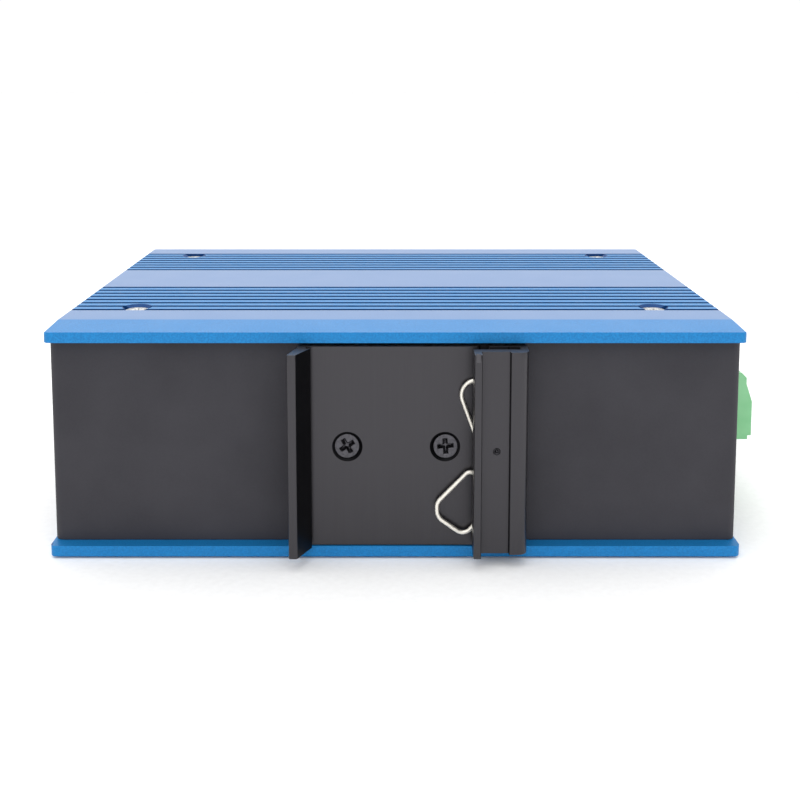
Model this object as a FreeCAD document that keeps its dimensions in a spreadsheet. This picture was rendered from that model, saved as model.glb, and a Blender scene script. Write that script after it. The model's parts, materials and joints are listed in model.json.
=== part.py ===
import FreeCAD, Part
import math
import os
import re

import Sketcher

# DIN rail ethernet switch, lying on its lower side plate.
# X runs along the plates: +X is the end with the terminal plug (the top in use).
# Y runs through the depth: -Y is the rear with the rail clip, +Y the front with the ports.
# Z is up. The origin is the middle of the lower side plate's outer face.

# ---------------------------------------------------------------- sizes in millimetres
SIZES = [
    # case
    ("case_height", 48.0, "over both side plates"),
    ("plate_length", 142.0, "side plate along X"),
    ("plate_depth", 104.0, "side plate along Y"),
    ("plate_thickness", 2.7, "side plate at its flat bands"),
    ("rear_slope_run", 9.7, "bevelled band at the plate's rear"),
    ("rear_slope_drop", 0.5, "fall of the bevelled band"),
    ("plate_corner", 1.2, "radius of the plate's corners seen from above"),
    ("groove_count", 8, "grooves in each of the two groups"),
    ("groove_pitch", 3.65, "groove to groove"),
    ("groove_width", 1.35, "one groove"),
    ("groove_depth", 1.0, "one groove"),
    ("rear_grooves", 19.55, "plate's rear edge to the first groove of the rear group"),
    ("front_grooves", 9.05, "last groove of the front group to the plate's front edge"),
    ("end_inset", 0.15, "case end inside the plate's end"),
    ("rear_overhang", 3.1, "plates past the rear wall"),
    ("front_overhang", 3.1, "plates past the front panel"),
    ("sheet", 1.2, "case sheet"),
    ("bend_radius", 0.6, "inside radius of the sheet's bends"),
    ("end_flange", 20.0, "inward flange at the case ends"),
    ("rear_flange", 9.0, "inward flange at the rear wall"),
    ("corner_slit", 1.2, "relief between two flanges"),
    ("panel_gap", 0.15, "front panel to shell"),
    ("panel_lip", 16.0, "depth of the front panel's folded lips"),
    # fasteners
    ("plate_screw_end", 14.0, "plate's end to its screws"),
    ("plate_screw_rear", 22.4, "plate's rear edge to the rear screws"),
    ("plate_screw_front", 11.7, "plate's front edge to the front screws"),
    ("plate_sink_radius", 3.25, "wide countersinks in the plates"),
    ("small_screw_radius", 1.45, "M3 screw shank"),
    ("small_head_radius", 2.6, "M3 countersunk head"),
    ("small_screw_length", 6.0, "M3 screw, head included"),
    ("screw_play", 0.2, "radial play of a screw in a clearance hole"),
    ("seat_play", 0.05, "gap that a seated or threaded pair keeps"),
    ("nut_flats", 6.0, "weld nuts across flats"),
    ("nut_height", 2.6, "weld nuts"),
    ("cross_span", 3.0, "cross recess, tip to tip"),
    ("cross_width", 0.75, "cross recess, one arm"),
    ("cross_depth", 1.0, "cross recess"),
    ("cross_taper", 8.0, "cross recess walls, in degrees"),
    # rail clip: heights stand on the base plate's face
    ("clip_low_gap", 0.2, "lower side plate to the clip"),
    ("clip_high_gap", 0.8, "clip to the upper side plate"),
    ("clip_base", 2.8, "base plate"),
    ("hook_lip", 17.0, "case middle to the fixed hook's lip"),
    ("lip_gap", 32.6, "lip to lip, a little under the 35 mm rail"),
    ("undercut_depth", 0.9, "groove under the fixed hook's lip"),
    ("undercut_height", 1.5, "groove under the fixed hook's lip, rail sheet plus play"),
    ("hook_height", 7.0, "both hooks"),
    ("hook_lean", 2.6, "fixed hook's inner face, lip to tip"),
    ("hook_tip", 1.75, "fixed hook's tip"),
    ("hook_root", 2.7, "fixed hook's foot, lip to outer face"),
    ("hook_foot", 0.9, "straight foot of the fixed hook's outer face"),
    ("ridge_width", 1.55, "tall ridge of the spring side"),
    ("channel_height", 2.2, "wire channel"),
    ("channel_depth", 9.6, "wire channel, from the ridge inwards"),
    ("channel_wall", 1.4, "wall that closes the channel"),
    ("cover_height", 4.2, "channel cover's outer face"),
    ("shoulder_height", 5.0, "raised outer band of the cover"),
    ("shoulder_width", 3.7, "raised outer band of the cover"),
    ("shoulder_radius", 1.9, "rounded outer edge of the clip"),
    ("relief_start", 1.1, "ridge face to the relief in the channel's floor"),
    ("relief_width", 2.3, "relief in the channel's floor"),
    ("relief_depth", 1.3, "relief in the channel's floor"),
    ("tip_radius", 0.35, "rounded tips of hook and ridge"),
    ("clip_screw_pitch", 19.9, "clip screws along X"),
    ("clip_screw_shift", 0.2, "clip screws' middle from the case middle"),
    ("clip_screw_radius", 1.75, "M3.5 screw shank"),
    ("clip_head_radius", 2.7, "M3.5 countersunk head"),
    ("clip_sink_radius", 3.1, "countersinks in the base plate"),
    ("clip_screw_length", 7.0, "M3.5 screw, head included"),
    # spring wire: reaches are measured out of the channel from the ridge's face
    ("wire_diameter", 0.8, "spring wire"),
    ("wire_lift", 1.1, "wire's centre above the channel's floor"),
    ("wire_bend", 1.3, "radius of the wire's bends"),
    ("upper_bend", 3.0, "radius of the upper loop's outer bend"),
    ("upper_reach", 3.5, "corner of the upper loop, before its bend rounds it"),
    ("upper_loop_top", 14.15, "upper loop's upper run above the clip's middle"),
    ("upper_foot_in", 0.9, "upper loop's foot, inside the ridge"),
    ("upper_loop_foot", 2.2, "upper loop's foot above the clip's middle"),
    ("tail_in", 0.9, "wire's upper end past the pin's side of the wire"),
    ("pin_crook_rise", 1.3, "bend over the pin, above the pin"),
    ("inner_crook", 6.5, "bend under the pin, below the clip's middle"),
    ("lower_crook_out", 0.75, "lower loop's top bend, outside the ridge"),
    ("lower_loop_top", 4.85, "lower loop's top bend below the clip's middle"),
    ("lower_reach", 7.15, "lower loop's nose"),
    ("lower_nose_top", 11.4, "nose's upper bend below the clip's middle"),
    ("lower_nose_back", 0.15, "nose's lower bend behind the upper one"),
    ("lower_nose_foot", 14.45, "nose's lower bend below the clip's middle"),
    ("lower_heel_out", 1.5, "lower loop's bottom bend, outside the ridge"),
    ("lower_loop_foot", 18.35, "lower loop's bottom bend below the clip's middle"),
    ("lower_tail_in", 5.0, "wire's lower end, inside the ridge"),
    ("lower_tail", 10.9, "wire's lower end below the clip's middle"),
    ("pin_radius", 0.7, "spring pin"),
    ("pin_inset", 4.7, "ridge face to the spring pin"),
    ("pin_rise", 0.4, "spring pin above the clip's middle"),
    # circuit board and what it carries
    ("board_top", 17.0, "height of the board's upper face"),
    ("board_thickness", 1.6, "circuit board"),
    ("board_gap", 1.3, "board's ends to the panel lips"),
    ("board_rear_gap", 4.0, "board to the rear wall"),
    ("board_front_gap", 0.5, "board to the front panel"),
    ("standoff_flats", 5.0, "hexagon standoff across flats"),
    ("standoff_end", 6.85, "standoffs to the flange at the case end"),
    ("standoff_rear", 10.0, "board's rear edge to the rear standoffs"),
    ("standoff_front", 6.7, "front standoffs to the network transformers"),
    ("pan_head_radius", 2.75, "board screw head"),
    ("pan_head_height", 1.8, "board screw head"),
    ("port_count", 5, "RJ45 sockets"),
    ("port_pitch", 19.0, "socket to socket"),
    ("port_share", 0.218, "part of the front's spare length before the first socket"),
    ("port_width", 16.1, "socket over its shield"),
    ("port_height", 13.5, "socket over its shield"),
    ("port_depth", 21.3, "socket over its shield"),
    ("port_proud", 0.3, "socket's face past the front panel"),
    ("port_window_play", 0.25, "panel window round a socket"),
    ("shield_wall", 0.3, "socket shield"),
    ("socket_width", 11.8, "opening for the plug"),
    ("socket_height", 6.9, "opening for the plug"),
    ("socket_depth", 12.5, "opening for the plug"),
    ("socket_top", 2.0, "socket's roof under the shield's top"),
    ("latch_width", 6.2, "wide notch for the latch"),
    ("latch_height", 1.4, "wide notch for the latch"),
    ("latch_slot_width", 3.4, "narrow notch for the latch"),
    ("latch_slot_height", 1.1, "narrow notch for the latch"),
    ("contact_count", 8, "contacts in a socket"),
    ("contact_pitch", 1.016, "contact to contact"),
    ("contact_width", 0.4, "one contact"),
    ("contact_thickness", 0.3, "one contact"),
    ("contact_drop", 1.7, "fall of a contact towards the mouth"),
    ("contact_front", 3.0, "socket's face to the contact tips"),
    ("contact_clearance", 0.2, "contacts under the opening's roof"),
    ("contact_tip", 1.2, "upturned end of a contact"),
    ("contact_tip_rise", 0.68, "rise of the upturned end"),
    ("light_width", 2.8, "light window in a socket"),
    ("light_height", 1.7, "light window in a socket"),
    ("light_gap", 0.4, "latch notch to a light window"),
    ("led_count", 3, "status lights"),
    ("led_width", 2.2, "status light"),
    ("led_height", 4.2, "status light"),
    ("led_pitch", 8.0, "status lights"),
    ("led_share", 0.563, "part of the length after the last socket that is past the lights' middle"),
    ("led_rise", 6.8, "status lights above the board"),
    ("led_proud", 0.8, "status lights past the panel"),
    ("holder_wall", 0.9, "status light holder"),
    ("holder_depth", 6.0, "status light holder"),
    # terminal
    ("pole_count", 6, "terminal poles"),
    ("pole_pitch", 5.08, "terminal poles"),
    ("terminal_middle", 39.2, "plates' rear edge to the terminal's middle"),
    ("header_depth", 12.0, "header along X"),
    ("header_height", 8.6, "header above the board"),
    ("header_wall", 1.2, "header's shroud"),
    ("header_floor", 3.1, "header's back wall"),
    ("pin_width", 1.0, "square header pins"),
    ("pin_reach", 6.6, "header pins in the shroud"),
    ("pin_tail", 2.4, "header pins below the board"),
    ("pin_setback", 1.2, "header's back to the pins' down legs"),
    ("plug_play", 0.25, "plug in its header and off the case"),
    ("plug_reach", 9.3, "plug past the case end"),
    ("plug_lift", 0.3, "plug above the board's level"),
    ("plug_height", 15.3, "plug's outer block"),
    ("plug_shoulder", 7.7, "outer block's top along X"),
    ("plug_chamfer", 1.1, "bevel of the outer block's top edge"),
    ("plug_ledge", 1.4, "upright step between the bevel and the slanted face"),
    ("plug_face_top", 6.6, "fall of the slanted face's lower edge"),
    ("plug_toe", 0.8, "outer block's lower edge behind its face"),
    ("plug_toe_height", 0.9, "outer block's lower edge"),
    ("wire_entry_width", 3.9, "wire entry"),
    ("wire_entry_height", 4.8, "wire entry"),
    ("wire_entry_depth", 7.4, "wire entry"),
    ("wire_entry_rise", 2.0, "wire entry above the plug's underside"),
    ("clamp_wall", 0.6, "wire clamp"),
    ("clamp_length", 5.4, "wire clamp"),
    ("driver_radius", 1.9, "screwdriver hole"),
    ("driver_inset", 3.4, "outer block's inner face to the screwdriver holes"),
    ("driver_screw_height", 3.2, "clamp screw"),
    ("driver_slot", 0.6, "clamp screw's slot"),
    ("socket_pin_width", 1.7, "plug's holes for the header pins"),
    # inner components, from the middle of the board
    ("chip_size", 14.0, "switch chip"),
    ("chip_thickness", 1.4, "switch chip"),
    ("sink_size", 28.0, "chip heat sink"),
    ("sink_height", 9.0, "chip heat sink"),
    ("sink_base", 2.0, "chip heat sink"),
    ("sink_slots", 6, "slots between fins"),
    ("sink_slot", 2.6, "one slot"),
    ("transformer_length", 12.7, "network transformer"),
    ("transformer_width", 9.4, "network transformer"),
    ("transformer_height", 5.6, "network transformer"),
    ("transformer_gap", 3.5, "transformers behind the sockets"),
    ("relay_length", 15.0, "alarm relay"),
    ("relay_width", 10.0, "alarm relay"),
    ("relay_height", 10.5, "alarm relay"),
    ("component_gap", 4.5, "between the relay and its neighbours"),
    ("capacitor_radius", 4.0, "smoothing capacitor"),
    ("capacitor_height", 11.5, "smoothing capacitor"),
    ("capacitor_pitch", 9.0, "the two smoothing capacitors"),
    ("capacitor_gap", 2.15, "capacitors to the header pins' middle"),
    ("inductor_size", 12.0, "power inductor"),
    ("inductor_height", 6.0, "power inductor"),
    ("regulator_length", 6.5, "power regulator"),
    ("regulator_width", 5.0, "power regulator"),
    ("regulator_height", 1.6, "power regulator"),
    ("crystal_length", 11.0, "clock crystal"),
    ("crystal_width", 4.6, "clock crystal"),
    ("crystal_height", 3.6, "clock crystal"),
    ("crystal_round", 2.25, "clock crystal's rounded ends"),
    # earth screw
    ("earth_radius", 1.9, "M4 screw shank"),
    ("earth_head_radius", 3.8, "M4 pan head"),
    ("earth_head_height", 2.6, "M4 pan head"),
    ("earth_length", 8.0, "M4 screw under the head"),
    ("earth_gap", 12.0, "header's side to the earth screw"),
    ("earth_nut_flats", 7.0, "earth nut across flats"),
]

os.makedirs("parts", exist_ok=True)
doc = FreeCAD.newDocument("rail_switch")
sizes = doc.addObject("Spreadsheet::Sheet", "sizes")
for row, (alias, amount, note) in enumerate(SIZES, start=1):
    sizes.set(f"A{row}", alias)
    sizes.set(f"B{row}", str(amount))
    sizes.set(f"C{row}", note)
    sizes.setAlias(f"B{row}", alias)
doc.recompute()
NAMES = {alias for alias, _, _ in SIZES}

# ---------------------------------------------------------------- levels worked out from the sizes
PLATE_REAR = "(-plate_depth / 2)"
WALL_REAR = f"({PLATE_REAR} + rear_overhang)"
PANEL_FACE = "(plate_depth / 2 - front_overhang)"
CASE_END = "(plate_length / 2 - end_inset)"
CASE_LOW = "plate_thickness"
CASE_HIGH = "(case_height - plate_thickness)"
CLIP_FACE = f"({WALL_REAR} - clip_base)"
CLIP_LOW = f"({CASE_LOW} + clip_low_gap)"
CLIP_HIGH = f"({CASE_HIGH} - clip_high_gap)"
CLIP_MIDDLE = f"(({CLIP_LOW} + {CLIP_HIGH}) / 2)"
RIDGE_FACE = "(lip_gap - hook_lip)"
PANEL_HALF = f"({CASE_END} - sheet - panel_gap)"
BOARD_HALF = f"({PANEL_HALF} - sheet - board_gap)"
BOARD_REAR = f"({WALL_REAR} + sheet + board_rear_gap)"
BOARD_FRONT = f"({PANEL_FACE} - sheet - board_front_gap)"
PORT_FACE = f"({PANEL_FACE} + port_proud)"
PORT_SPARE = f"(2 * {CASE_END} - (port_count - 1) * port_pitch - port_width)"
FIRST_PORT = f"(-{CASE_END} + {PORT_SPARE} * port_share + port_width / 2)"
LED_SPARE = f"({PORT_SPARE} * (1 - port_share))"
FIRST_LED = f"({CASE_END} - {LED_SPARE} * led_share - (led_count - 1) * led_pitch / 2)"
TERMINAL_Y = f"({PLATE_REAR} + terminal_middle)"
HEADER_HALF = "(pole_count * pole_pitch / 2 + header_wall)"
HEADER_REAR = f"({CASE_END} - header_depth)"
FIRST_POLE = f"({TERMINAL_Y} - (pole_count - 1) * pole_pitch / 2)"
NOSE_LOW = "(board_top + header_wall + plug_play)"
NOSE_HIGH = "(board_top + header_height - header_wall - plug_play)"
PIN_LEVEL = "(board_top + header_height / 2)"
PLUG_BACK = f"({CASE_END} + plug_play)"
PLUG_LOW = "(board_top + plug_lift)"
PLUG_FRONT = f"({CASE_END} + plug_reach)"
ENTRY_LOW = f"({PLUG_LOW} + wire_entry_rise)"
STANDOFF_REAR = f"({BOARD_REAR} + standoff_rear)"
TRANSFORMER_Y = f"({PORT_FACE} - port_depth - transformer_gap - transformer_width / 2)"
SINK_DEPTH = "(plate_sink_radius - small_head_radius - seat_play * 1.5)"
EARTH_Y = f"({TERMINAL_Y} + {HEADER_HALF} + earth_gap)"
SHANK_FLATS = "(sqrt(2 + sqrt(2)) / 2)"  # middle to flat of an octagon whose corners are at 1

finished = []


# ---------------------------------------------------------------- helpers
def cell(text):
    """The same expression with the sheet's name before each size."""
    def named(match):
        word = match.group()
        return f"sizes.{word}" if word in NAMES else word
    return re.sub(r"[a-z][a-z0-9_]*", named, str(text))


def amount_of(text):
    return float(sizes.evalExpression(cell(text)))


def finish(item, label):
    """Give a sub-part its own label and put it on the list of finished pieces."""
    item.Label = label
    finished.append(item)
    return item


def new_body(label):
    return doc.addObject("PartDesign::Body", label)


def origin_part(body, role):
    return next(item for item in body.Origin.OriginFeatures if item.Role == role)


def new_sketch(body, plane, level="0"):
    """An empty sketch on one of the body's own planes, lifted to a level along its normal."""
    sketch = body.newObject("Sketcher::SketchObject", "sketch")
    sketch.AttachmentSupport = [(origin_part(body, plane), "")]
    sketch.MapMode = "FlatFace"
    sketch.setExpression("AttachmentOffset.Base.z", cell(level))
    return sketch


def flat(body, level="0"):
    """Sketch seen from above: across is X, up is Y, the normal is +Z."""
    return new_sketch(body, "XY_Plane", level)


def facing(body, level="0"):
    """Sketch seen from the rear: across is X, up is Z, the normal is -Y."""
    return new_sketch(body, "XZ_Plane", f"-({level})")


def endways(body, level="0"):
    """Sketch seen from the +X end: across is Y, up is Z, the normal is +X."""
    return new_sketch(body, "YZ_Plane", level)


def hold(sketch, kind, geometry, point, text):
    """Tie one point of a sketch to an expression."""
    index = sketch.addConstraint(
        Sketcher.Constraint(kind, -1, 1, geometry, point, amount_of(text)))
    sketch.setExpression(f"Constraints[{index}]", cell(text))


def outline(sketch, corners):
    """Closed outline of straight lines, each corner tied to two expressions."""
    first = sketch.GeometryCount
    points = [FreeCAD.Vector(amount_of(across), amount_of(up), 0) for across, up in corners]
    for start, end in zip(points, points[1:] + points[:1]):
        sketch.addGeometry(Part.LineSegment(start, end), False)
    for index in range(len(corners)):
        after = first + (index + 1) % len(corners)
        sketch.addConstraint(Sketcher.Constraint("Coincident", first + index, 2, after, 1))
    for index, (across, up) in enumerate(corners):
        hold(sketch, "DistanceX", first + index, 1, across)
        hold(sketch, "DistanceY", first + index, 1, up)
    return sketch


def rectangle(sketch, left, right, low, high):
    return outline(sketch, [(left, low), (right, low), (right, high), (left, high)])


def ring(sketch, across, up, radius):
    """One circle tied to expressions."""
    index = sketch.addGeometry(
        Part.Circle(FreeCAD.Vector(amount_of(across), amount_of(up), 0),
                    FreeCAD.Vector(0, 0, 1), amount_of(radius)), False)
    hold(sketch, "DistanceX", index, 3, across)
    hold(sketch, "DistanceY", index, 3, up)
    bound = sketch.addConstraint(Sketcher.Constraint("Radius", index, amount_of(radius)))
    sketch.setExpression(f"Constraints[{bound}]", cell(radius))
    return sketch


def octagon(sketch, across, up, radius):
    """Eight flats round a point, each at the given radius: for shanks and holes out of sight."""
    corner = f"({radius}) * (sqrt(2) - 1)"
    steps = [(radius, corner), (corner, radius), (f"-{corner}", radius), (f"-({radius})", corner),
             (f"-({radius})", f"-{corner}"), (f"-{corner}", f"-({radius})"),
             (corner, f"-({radius})"), (radius, f"-{corner}")]
    return outline(sketch, [(f"{across} + {right}", f"{up} + {rise}") for right, rise in steps])


def pad(body, sketch, length):
    """Grow the sketch along its normal."""
    feature = body.newObject("PartDesign::Pad", "pad")
    feature.Profile = sketch
    feature.setExpression("Length", cell(length))
    doc.recompute()
    return feature


def cut(body, sketch, length=None, taper=None):
    """Cut the sketch against its normal, to a depth or right through."""
    before = body.Shape.Volume
    feature = body.newObject("PartDesign::Pocket", "pocket")
    feature.Profile = sketch
    if length is None:
        feature.Type = "ThroughAll"
    else:
        feature.setExpression("Length", cell(length))
    if taper is not None:
        feature.setExpression("TaperAngle", cell(taper))
    doc.recompute()
    if not body.Shape.Volume < before - 1e-6:
        raise RuntimeError(f"a pocket of {body.Name} cuts nothing")
    return feature


def turn(body, sketch):
    """Turn the sketch once round the upright axis."""
    feature = body.newObject("PartDesign::Revolution", "turned")
    feature.Profile = sketch
    feature.ReferenceAxis = (sketch, ["V_Axis"])
    feature.Angle = 360
    doc.recompute()
    return feature


def repeat(body, feature, axis, count, pitch):
    """Copies of a feature in a straight row."""
    row_of = body.newObject("PartDesign::LinearPattern", "row")
    row_of.Originals = [feature]
    row_of.Direction = (origin_part(body, f"{axis}_Axis"), [""])
    row_of.setExpression("Length", cell(f"({count} - 1) * {pitch}"))
    row_of.setExpression("Occurrences", cell(count))
    body.Tip = row_of
    doc.recompute()
    return row_of


def sink_holes(body, sketch, radius, sink_radius):
    """Screw holes with 90 degree countersinks that open at the sketch."""
    doc.recompute()
    before = body.Shape.Volume
    feature = body.newObject("PartDesign::Hole", "screw_holes")
    feature.Profile = sketch
    doc.recompute()
    feature.ThreadType = "None"
    feature.Threaded = False
    feature.setExpression("Diameter", cell(f"2 * ({radius})"))
    feature.DepthType = "ThroughAll"
    feature.HoleCutType = "Countersink"
    feature.HoleCutCustomValues = True
    feature.setExpression("HoleCutDiameter", cell(f"2 * ({sink_radius})"))
    feature.HoleCutCountersinkAngle = 90
    doc.recompute()
    if not body.Shape.Volume < before - 1e-6:
        raise RuntimeError(f"the screw holes of {body.Name} cut nothing")
    return feature


def soften(body, radius, chosen):
    """Fillet the body's edges that the test picks out."""
    doc.recompute()
    names = [f"Edge{index}" for index, edge in enumerate(body.Shape.Edges, 1) if chosen(edge)]
    if not names:
        raise RuntimeError(f"no edge of {body.Name} to round")
    base = body.Tip
    feature = body.newObject("PartDesign::Fillet", "rounding")
    feature.Base = (base, names)
    feature.setExpression("Radius", cell(radius))
    doc.recompute()
    return feature


def runs(edge, axis):
    """True for a straight edge that runs along the axis."""
    if edge.Degenerated or edge.Curve.TypeId != "Part::GeomLine":
        return False
    spans = {"X": edge.BoundBox.XLength, "Y": edge.BoundBox.YLength, "Z": edge.BoundBox.ZLength}
    along = spans.pop(axis)
    return along > 0.01 and max(spans.values()) < 1e-5


def lies_at(edge, across=None, deep=None, high=None):
    """True for an edge whose middle is at the given X, Y and Z expressions."""
    middle = edge.BoundBox.Center
    wanted = ((across, middle.x), (deep, middle.y), (high, middle.z))
    return all(text is None or abs(place - amount_of(text)) < 1e-4 for text, place in wanted)


def place(item, across="0", deep="0", high="0", spin=None):
    """Place an object by expressions, after an optional turn."""
    if spin is not None:
        item.Placement = FreeCAD.Placement(FreeCAD.Vector(), spin)
    for letter, text in (("x", across), ("y", deep), ("z", high)):
        item.setExpression(f"Placement.Base.{letter}", cell(text))
    return item


def group(label, master, places, spins=None):
    """Identical loose pieces that share one node: one link to the master for each place."""
    links = []
    for index, (across, deep, high) in enumerate(places):
        link = doc.addObject("App::Link", f"{label}_{index + 1}")
        link.LinkedObject = master
        place(link, across, deep, high, spins[index] if spins else None)
        links.append(link)
    together = doc.addObject("Part::Compound", label)
    together.Links = links
    doc.recompute()
    return finish(together, label)


def spun(*turns):
    """Rotation made of turns in degrees about named axes, first to last."""
    axes = {"X": FreeCAD.Vector(1, 0, 0), "Y": FreeCAD.Vector(0, 1, 0), "Z": FreeCAD.Vector(0, 0, 1)}
    total = FreeCAD.Rotation()
    for axis, degrees in turns:
        total = FreeCAD.Rotation(axes[axis], degrees) * total
    return total


def sunk_screw(label, head, shank, length, cross="1"):
    """Countersunk cross-recess screw, head up, the head's face at Z = 0."""
    body = new_body(label)
    pad(body, octagon(flat(body, f"-({length})"), "0", "0", f"{shank} * {SHANK_FLATS}"), length)
    turn(body, outline(facing(body), [
        ("0", "0"), (head, "0"), (shank, f"{shank} - {head}"), ("0", f"{shank} - {head}")]))
    cross_recess(body, cross)
    return body


def pan_screw(label, head, head_height, shank, length, rim=ring):
    """Screw with a flat-topped head, head up, the head's face at Z = 0."""
    body = new_body(label)
    end = f"-({head_height} + {length})"
    pad(body, octagon(flat(body, end), "0", "0", f"{shank} * {SHANK_FLATS}"), f"-({end})")
    pad(body, rim(flat(body, f"-{head_height}"), "0", "0", head), head_height)
    return body


def cross_recess(body, scale="1"):
    """Tapered cross recess in a head whose face is at Z = 0."""
    tip = f"cross_span / 2 * {scale}"
    arm = f"cross_width / 2 * {scale}"
    corners = []
    for along, side in (((1, 0), (0, 1)), ((0, 1), (-1, 0)), ((-1, 0), (0, -1)), ((0, -1), (1, 0))):
        for reach, offset in ((tip, -1), (tip, 1), (arm, 1)):
            corners.append(tuple(
                f"({reach}) * {along[axis]} + ({arm}) * {offset * side[axis]}" for axis in (0, 1)))
    cut(body, outline(flat(body), corners), f"cross_depth * {scale}", taper="-cross_taper")


def bored_hexagon(label, flats, bore, height):
    """Hexagon bar with a bore right through: a nut or a standoff on Z = 0."""
    bar = doc.addObject("Part::Prism", f"{label}_bar")
    bar.Polygon = 6
    bar.setExpression("Circumradius", cell(f"{flats} / sqrt(3)"))
    bar.setExpression("Height", cell(height))
    hole = doc.addObject("Part::Prism", f"{label}_bore")
    hole.Polygon = 8
    hole.setExpression("Circumradius", cell(f"({bore}) / {SHANK_FLATS}"))
    hole.setExpression("Height", cell(height))
    piece = doc.addObject("Part::Cut", label)
    piece.Base = bar
    piece.Tool = hole
    doc.recompute()
    return piece


# ---------------------------------------------------------------- side plates
REAR_SCREWS, FRONT_SCREWS = [
    [(side, deep) for side in ("plate_screw_end - plate_length / 2",
                               "plate_length / 2 - plate_screw_end")]
    for deep in (f"{PLATE_REAR} + plate_screw_rear", "plate_depth / 2 - plate_screw_front")]
PLATE_SCREWS = REAR_SCREWS + FRONT_SCREWS


def upper_side_plate():
    """Extrusion along X: flat bands, two groups of grooves and a bevelled rear band."""
    body = new_body("upper_side_plate")
    inner = "(case_height - plate_thickness)"
    section = endways(body, "-plate_length / 2")
    outline(section, [
        (PLATE_REAR, inner), ("plate_depth / 2", inner), ("plate_depth / 2", "case_height"),
        (f"{PLATE_REAR} + rear_slope_run", "case_height"),
        (PLATE_REAR, "case_height - rear_slope_drop")])
    pad(body, section, "plate_length")
    soften(body, "plate_corner", lambda edge: runs(edge, "Z"))
    for middle in (f"{PLATE_REAR} + rear_grooves",
                   "plate_depth / 2 - front_grooves - (groove_count - 1) * groove_pitch"):
        groove = endways(body, "plate_length")
        rectangle(groove, f"{middle} - groove_width / 2", f"{middle} + groove_width / 2",
                  "case_height - groove_depth", "case_height + groove_depth")
        repeat(body, cut(body, groove), "Y", "groove_count", "groove_pitch")
    seats = flat(body, "case_height")
    for across, deep in PLATE_SCREWS:
        ring(seats, across, deep, "small_screw_radius")
    sink_holes(body, seats, "small_screw_radius + screw_play", "plate_sink_radius")
    return finish(body, "upper_side_plate")


def lower_side_plate(upper):
    """The same extrusion turned over below the case."""
    plate = doc.addObject("Part::Mirroring", "lower_side_plate")
    plate.Source = upper
    plate.Normal = (0, 0, 1)
    plate.setExpression("Base.z", cell("case_height / 2"))
    doc.recompute()
    return finish(plate, "lower_side_plate")


def plate_fasteners():
    screw = sunk_screw("plate_screw", "small_head_radius", "small_screw_radius",
                       "small_screw_length")
    over = spun(("X", 180))
    spins = [spun(("Z", 20)), spun(("Z", 50)), spun(("Z", -15)), spun(("Z", 70))]
    group("upper_plate_screws", screw,
          [(across, deep, f"case_height - ({SINK_DEPTH})") for across, deep in PLATE_SCREWS], spins)
    group("lower_plate_screws", screw,
          [(across, deep, SINK_DEPTH) for across, deep in PLATE_SCREWS],
          [spin * over for spin in spins])


# ---------------------------------------------------------------- case
CLIP_SCREWS = ["clip_screw_shift - clip_screw_pitch / 2", "clip_screw_shift + clip_screw_pitch / 2"]


def case_shell():
    """Rear wall, two ends and their flanges, folded from one sheet."""
    body = new_body("case_shell")
    bend = "bend_radius + sheet"
    block = flat(body, CASE_LOW)
    rectangle(block, f"-{CASE_END}", CASE_END, WALL_REAR, PANEL_FACE)
    pad(body, block, f"{CASE_HIGH} - {CASE_LOW}")
    soften(body, bend, lambda edge: runs(edge, "Z") and lies_at(edge, deep=WALL_REAR))
    hollow = facing(body, f"{WALL_REAR} + sheet")
    inside = f"({CASE_END} - sheet)"
    rectangle(hollow, f"-{inside}", inside, f"{CASE_LOW} + sheet", f"{CASE_HIGH} - sheet")
    cut(body, hollow, f"{PANEL_FACE} - {WALL_REAR}")
    soften(body, "bend_radius", lambda edge: runs(edge, "Z") and lies_at(
        edge, deep=f"{WALL_REAR} + sheet"))
    window = flat(body, "case_height")
    half = f"({CASE_END} - end_flange)"
    rim = f"({WALL_REAR} + rear_flange)"
    slit = f"({WALL_REAR} + {bend})"
    front = f"({PANEL_FACE} - panel_lip - panel_gap)"
    past = f"({PANEL_FACE} + sheet)"
    outline(window, [
        (f"-{inside}", past), (f"-{inside}", front), (f"-{half}", front), (f"-{half}", slit),
        (f"-{half} + corner_slit", slit), (f"-{half} + corner_slit", rim),
        (f"{half} - corner_slit", rim), (f"{half} - corner_slit", slit),
        (half, slit), (half, front), (inside, front), (inside, past)])
    cut(body, window)
    threads = flat(body, "case_height")
    for across, deep in REAR_SCREWS:
        octagon(threads, across, deep, "small_screw_radius + seat_play")
    cut(body, threads)
    clip_holes = facing(body, WALL_REAR)
    for across in CLIP_SCREWS:
        octagon(clip_holes, across, CLIP_MIDDLE, "clip_screw_radius + screw_play")
    cut(body, clip_holes, "2 * sheet")
    terminal = endways(body, f"{CASE_END} + sheet")
    rectangle(terminal, f"{TERMINAL_Y} - {HEADER_HALF} - plug_play",
              f"{TERMINAL_Y} + {HEADER_HALF} + plug_play",
              "board_top - plug_play", "board_top + header_height + plug_play")
    cut(body, terminal, "2 * sheet + panel_gap")
    earth = endways(body, f"{CASE_END} + sheet")
    octagon(earth, EARTH_Y, PIN_LEVEL, "earth_radius + screw_play")
    cut(body, earth, "3 * sheet")
    return finish(body, "case_shell")


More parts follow.
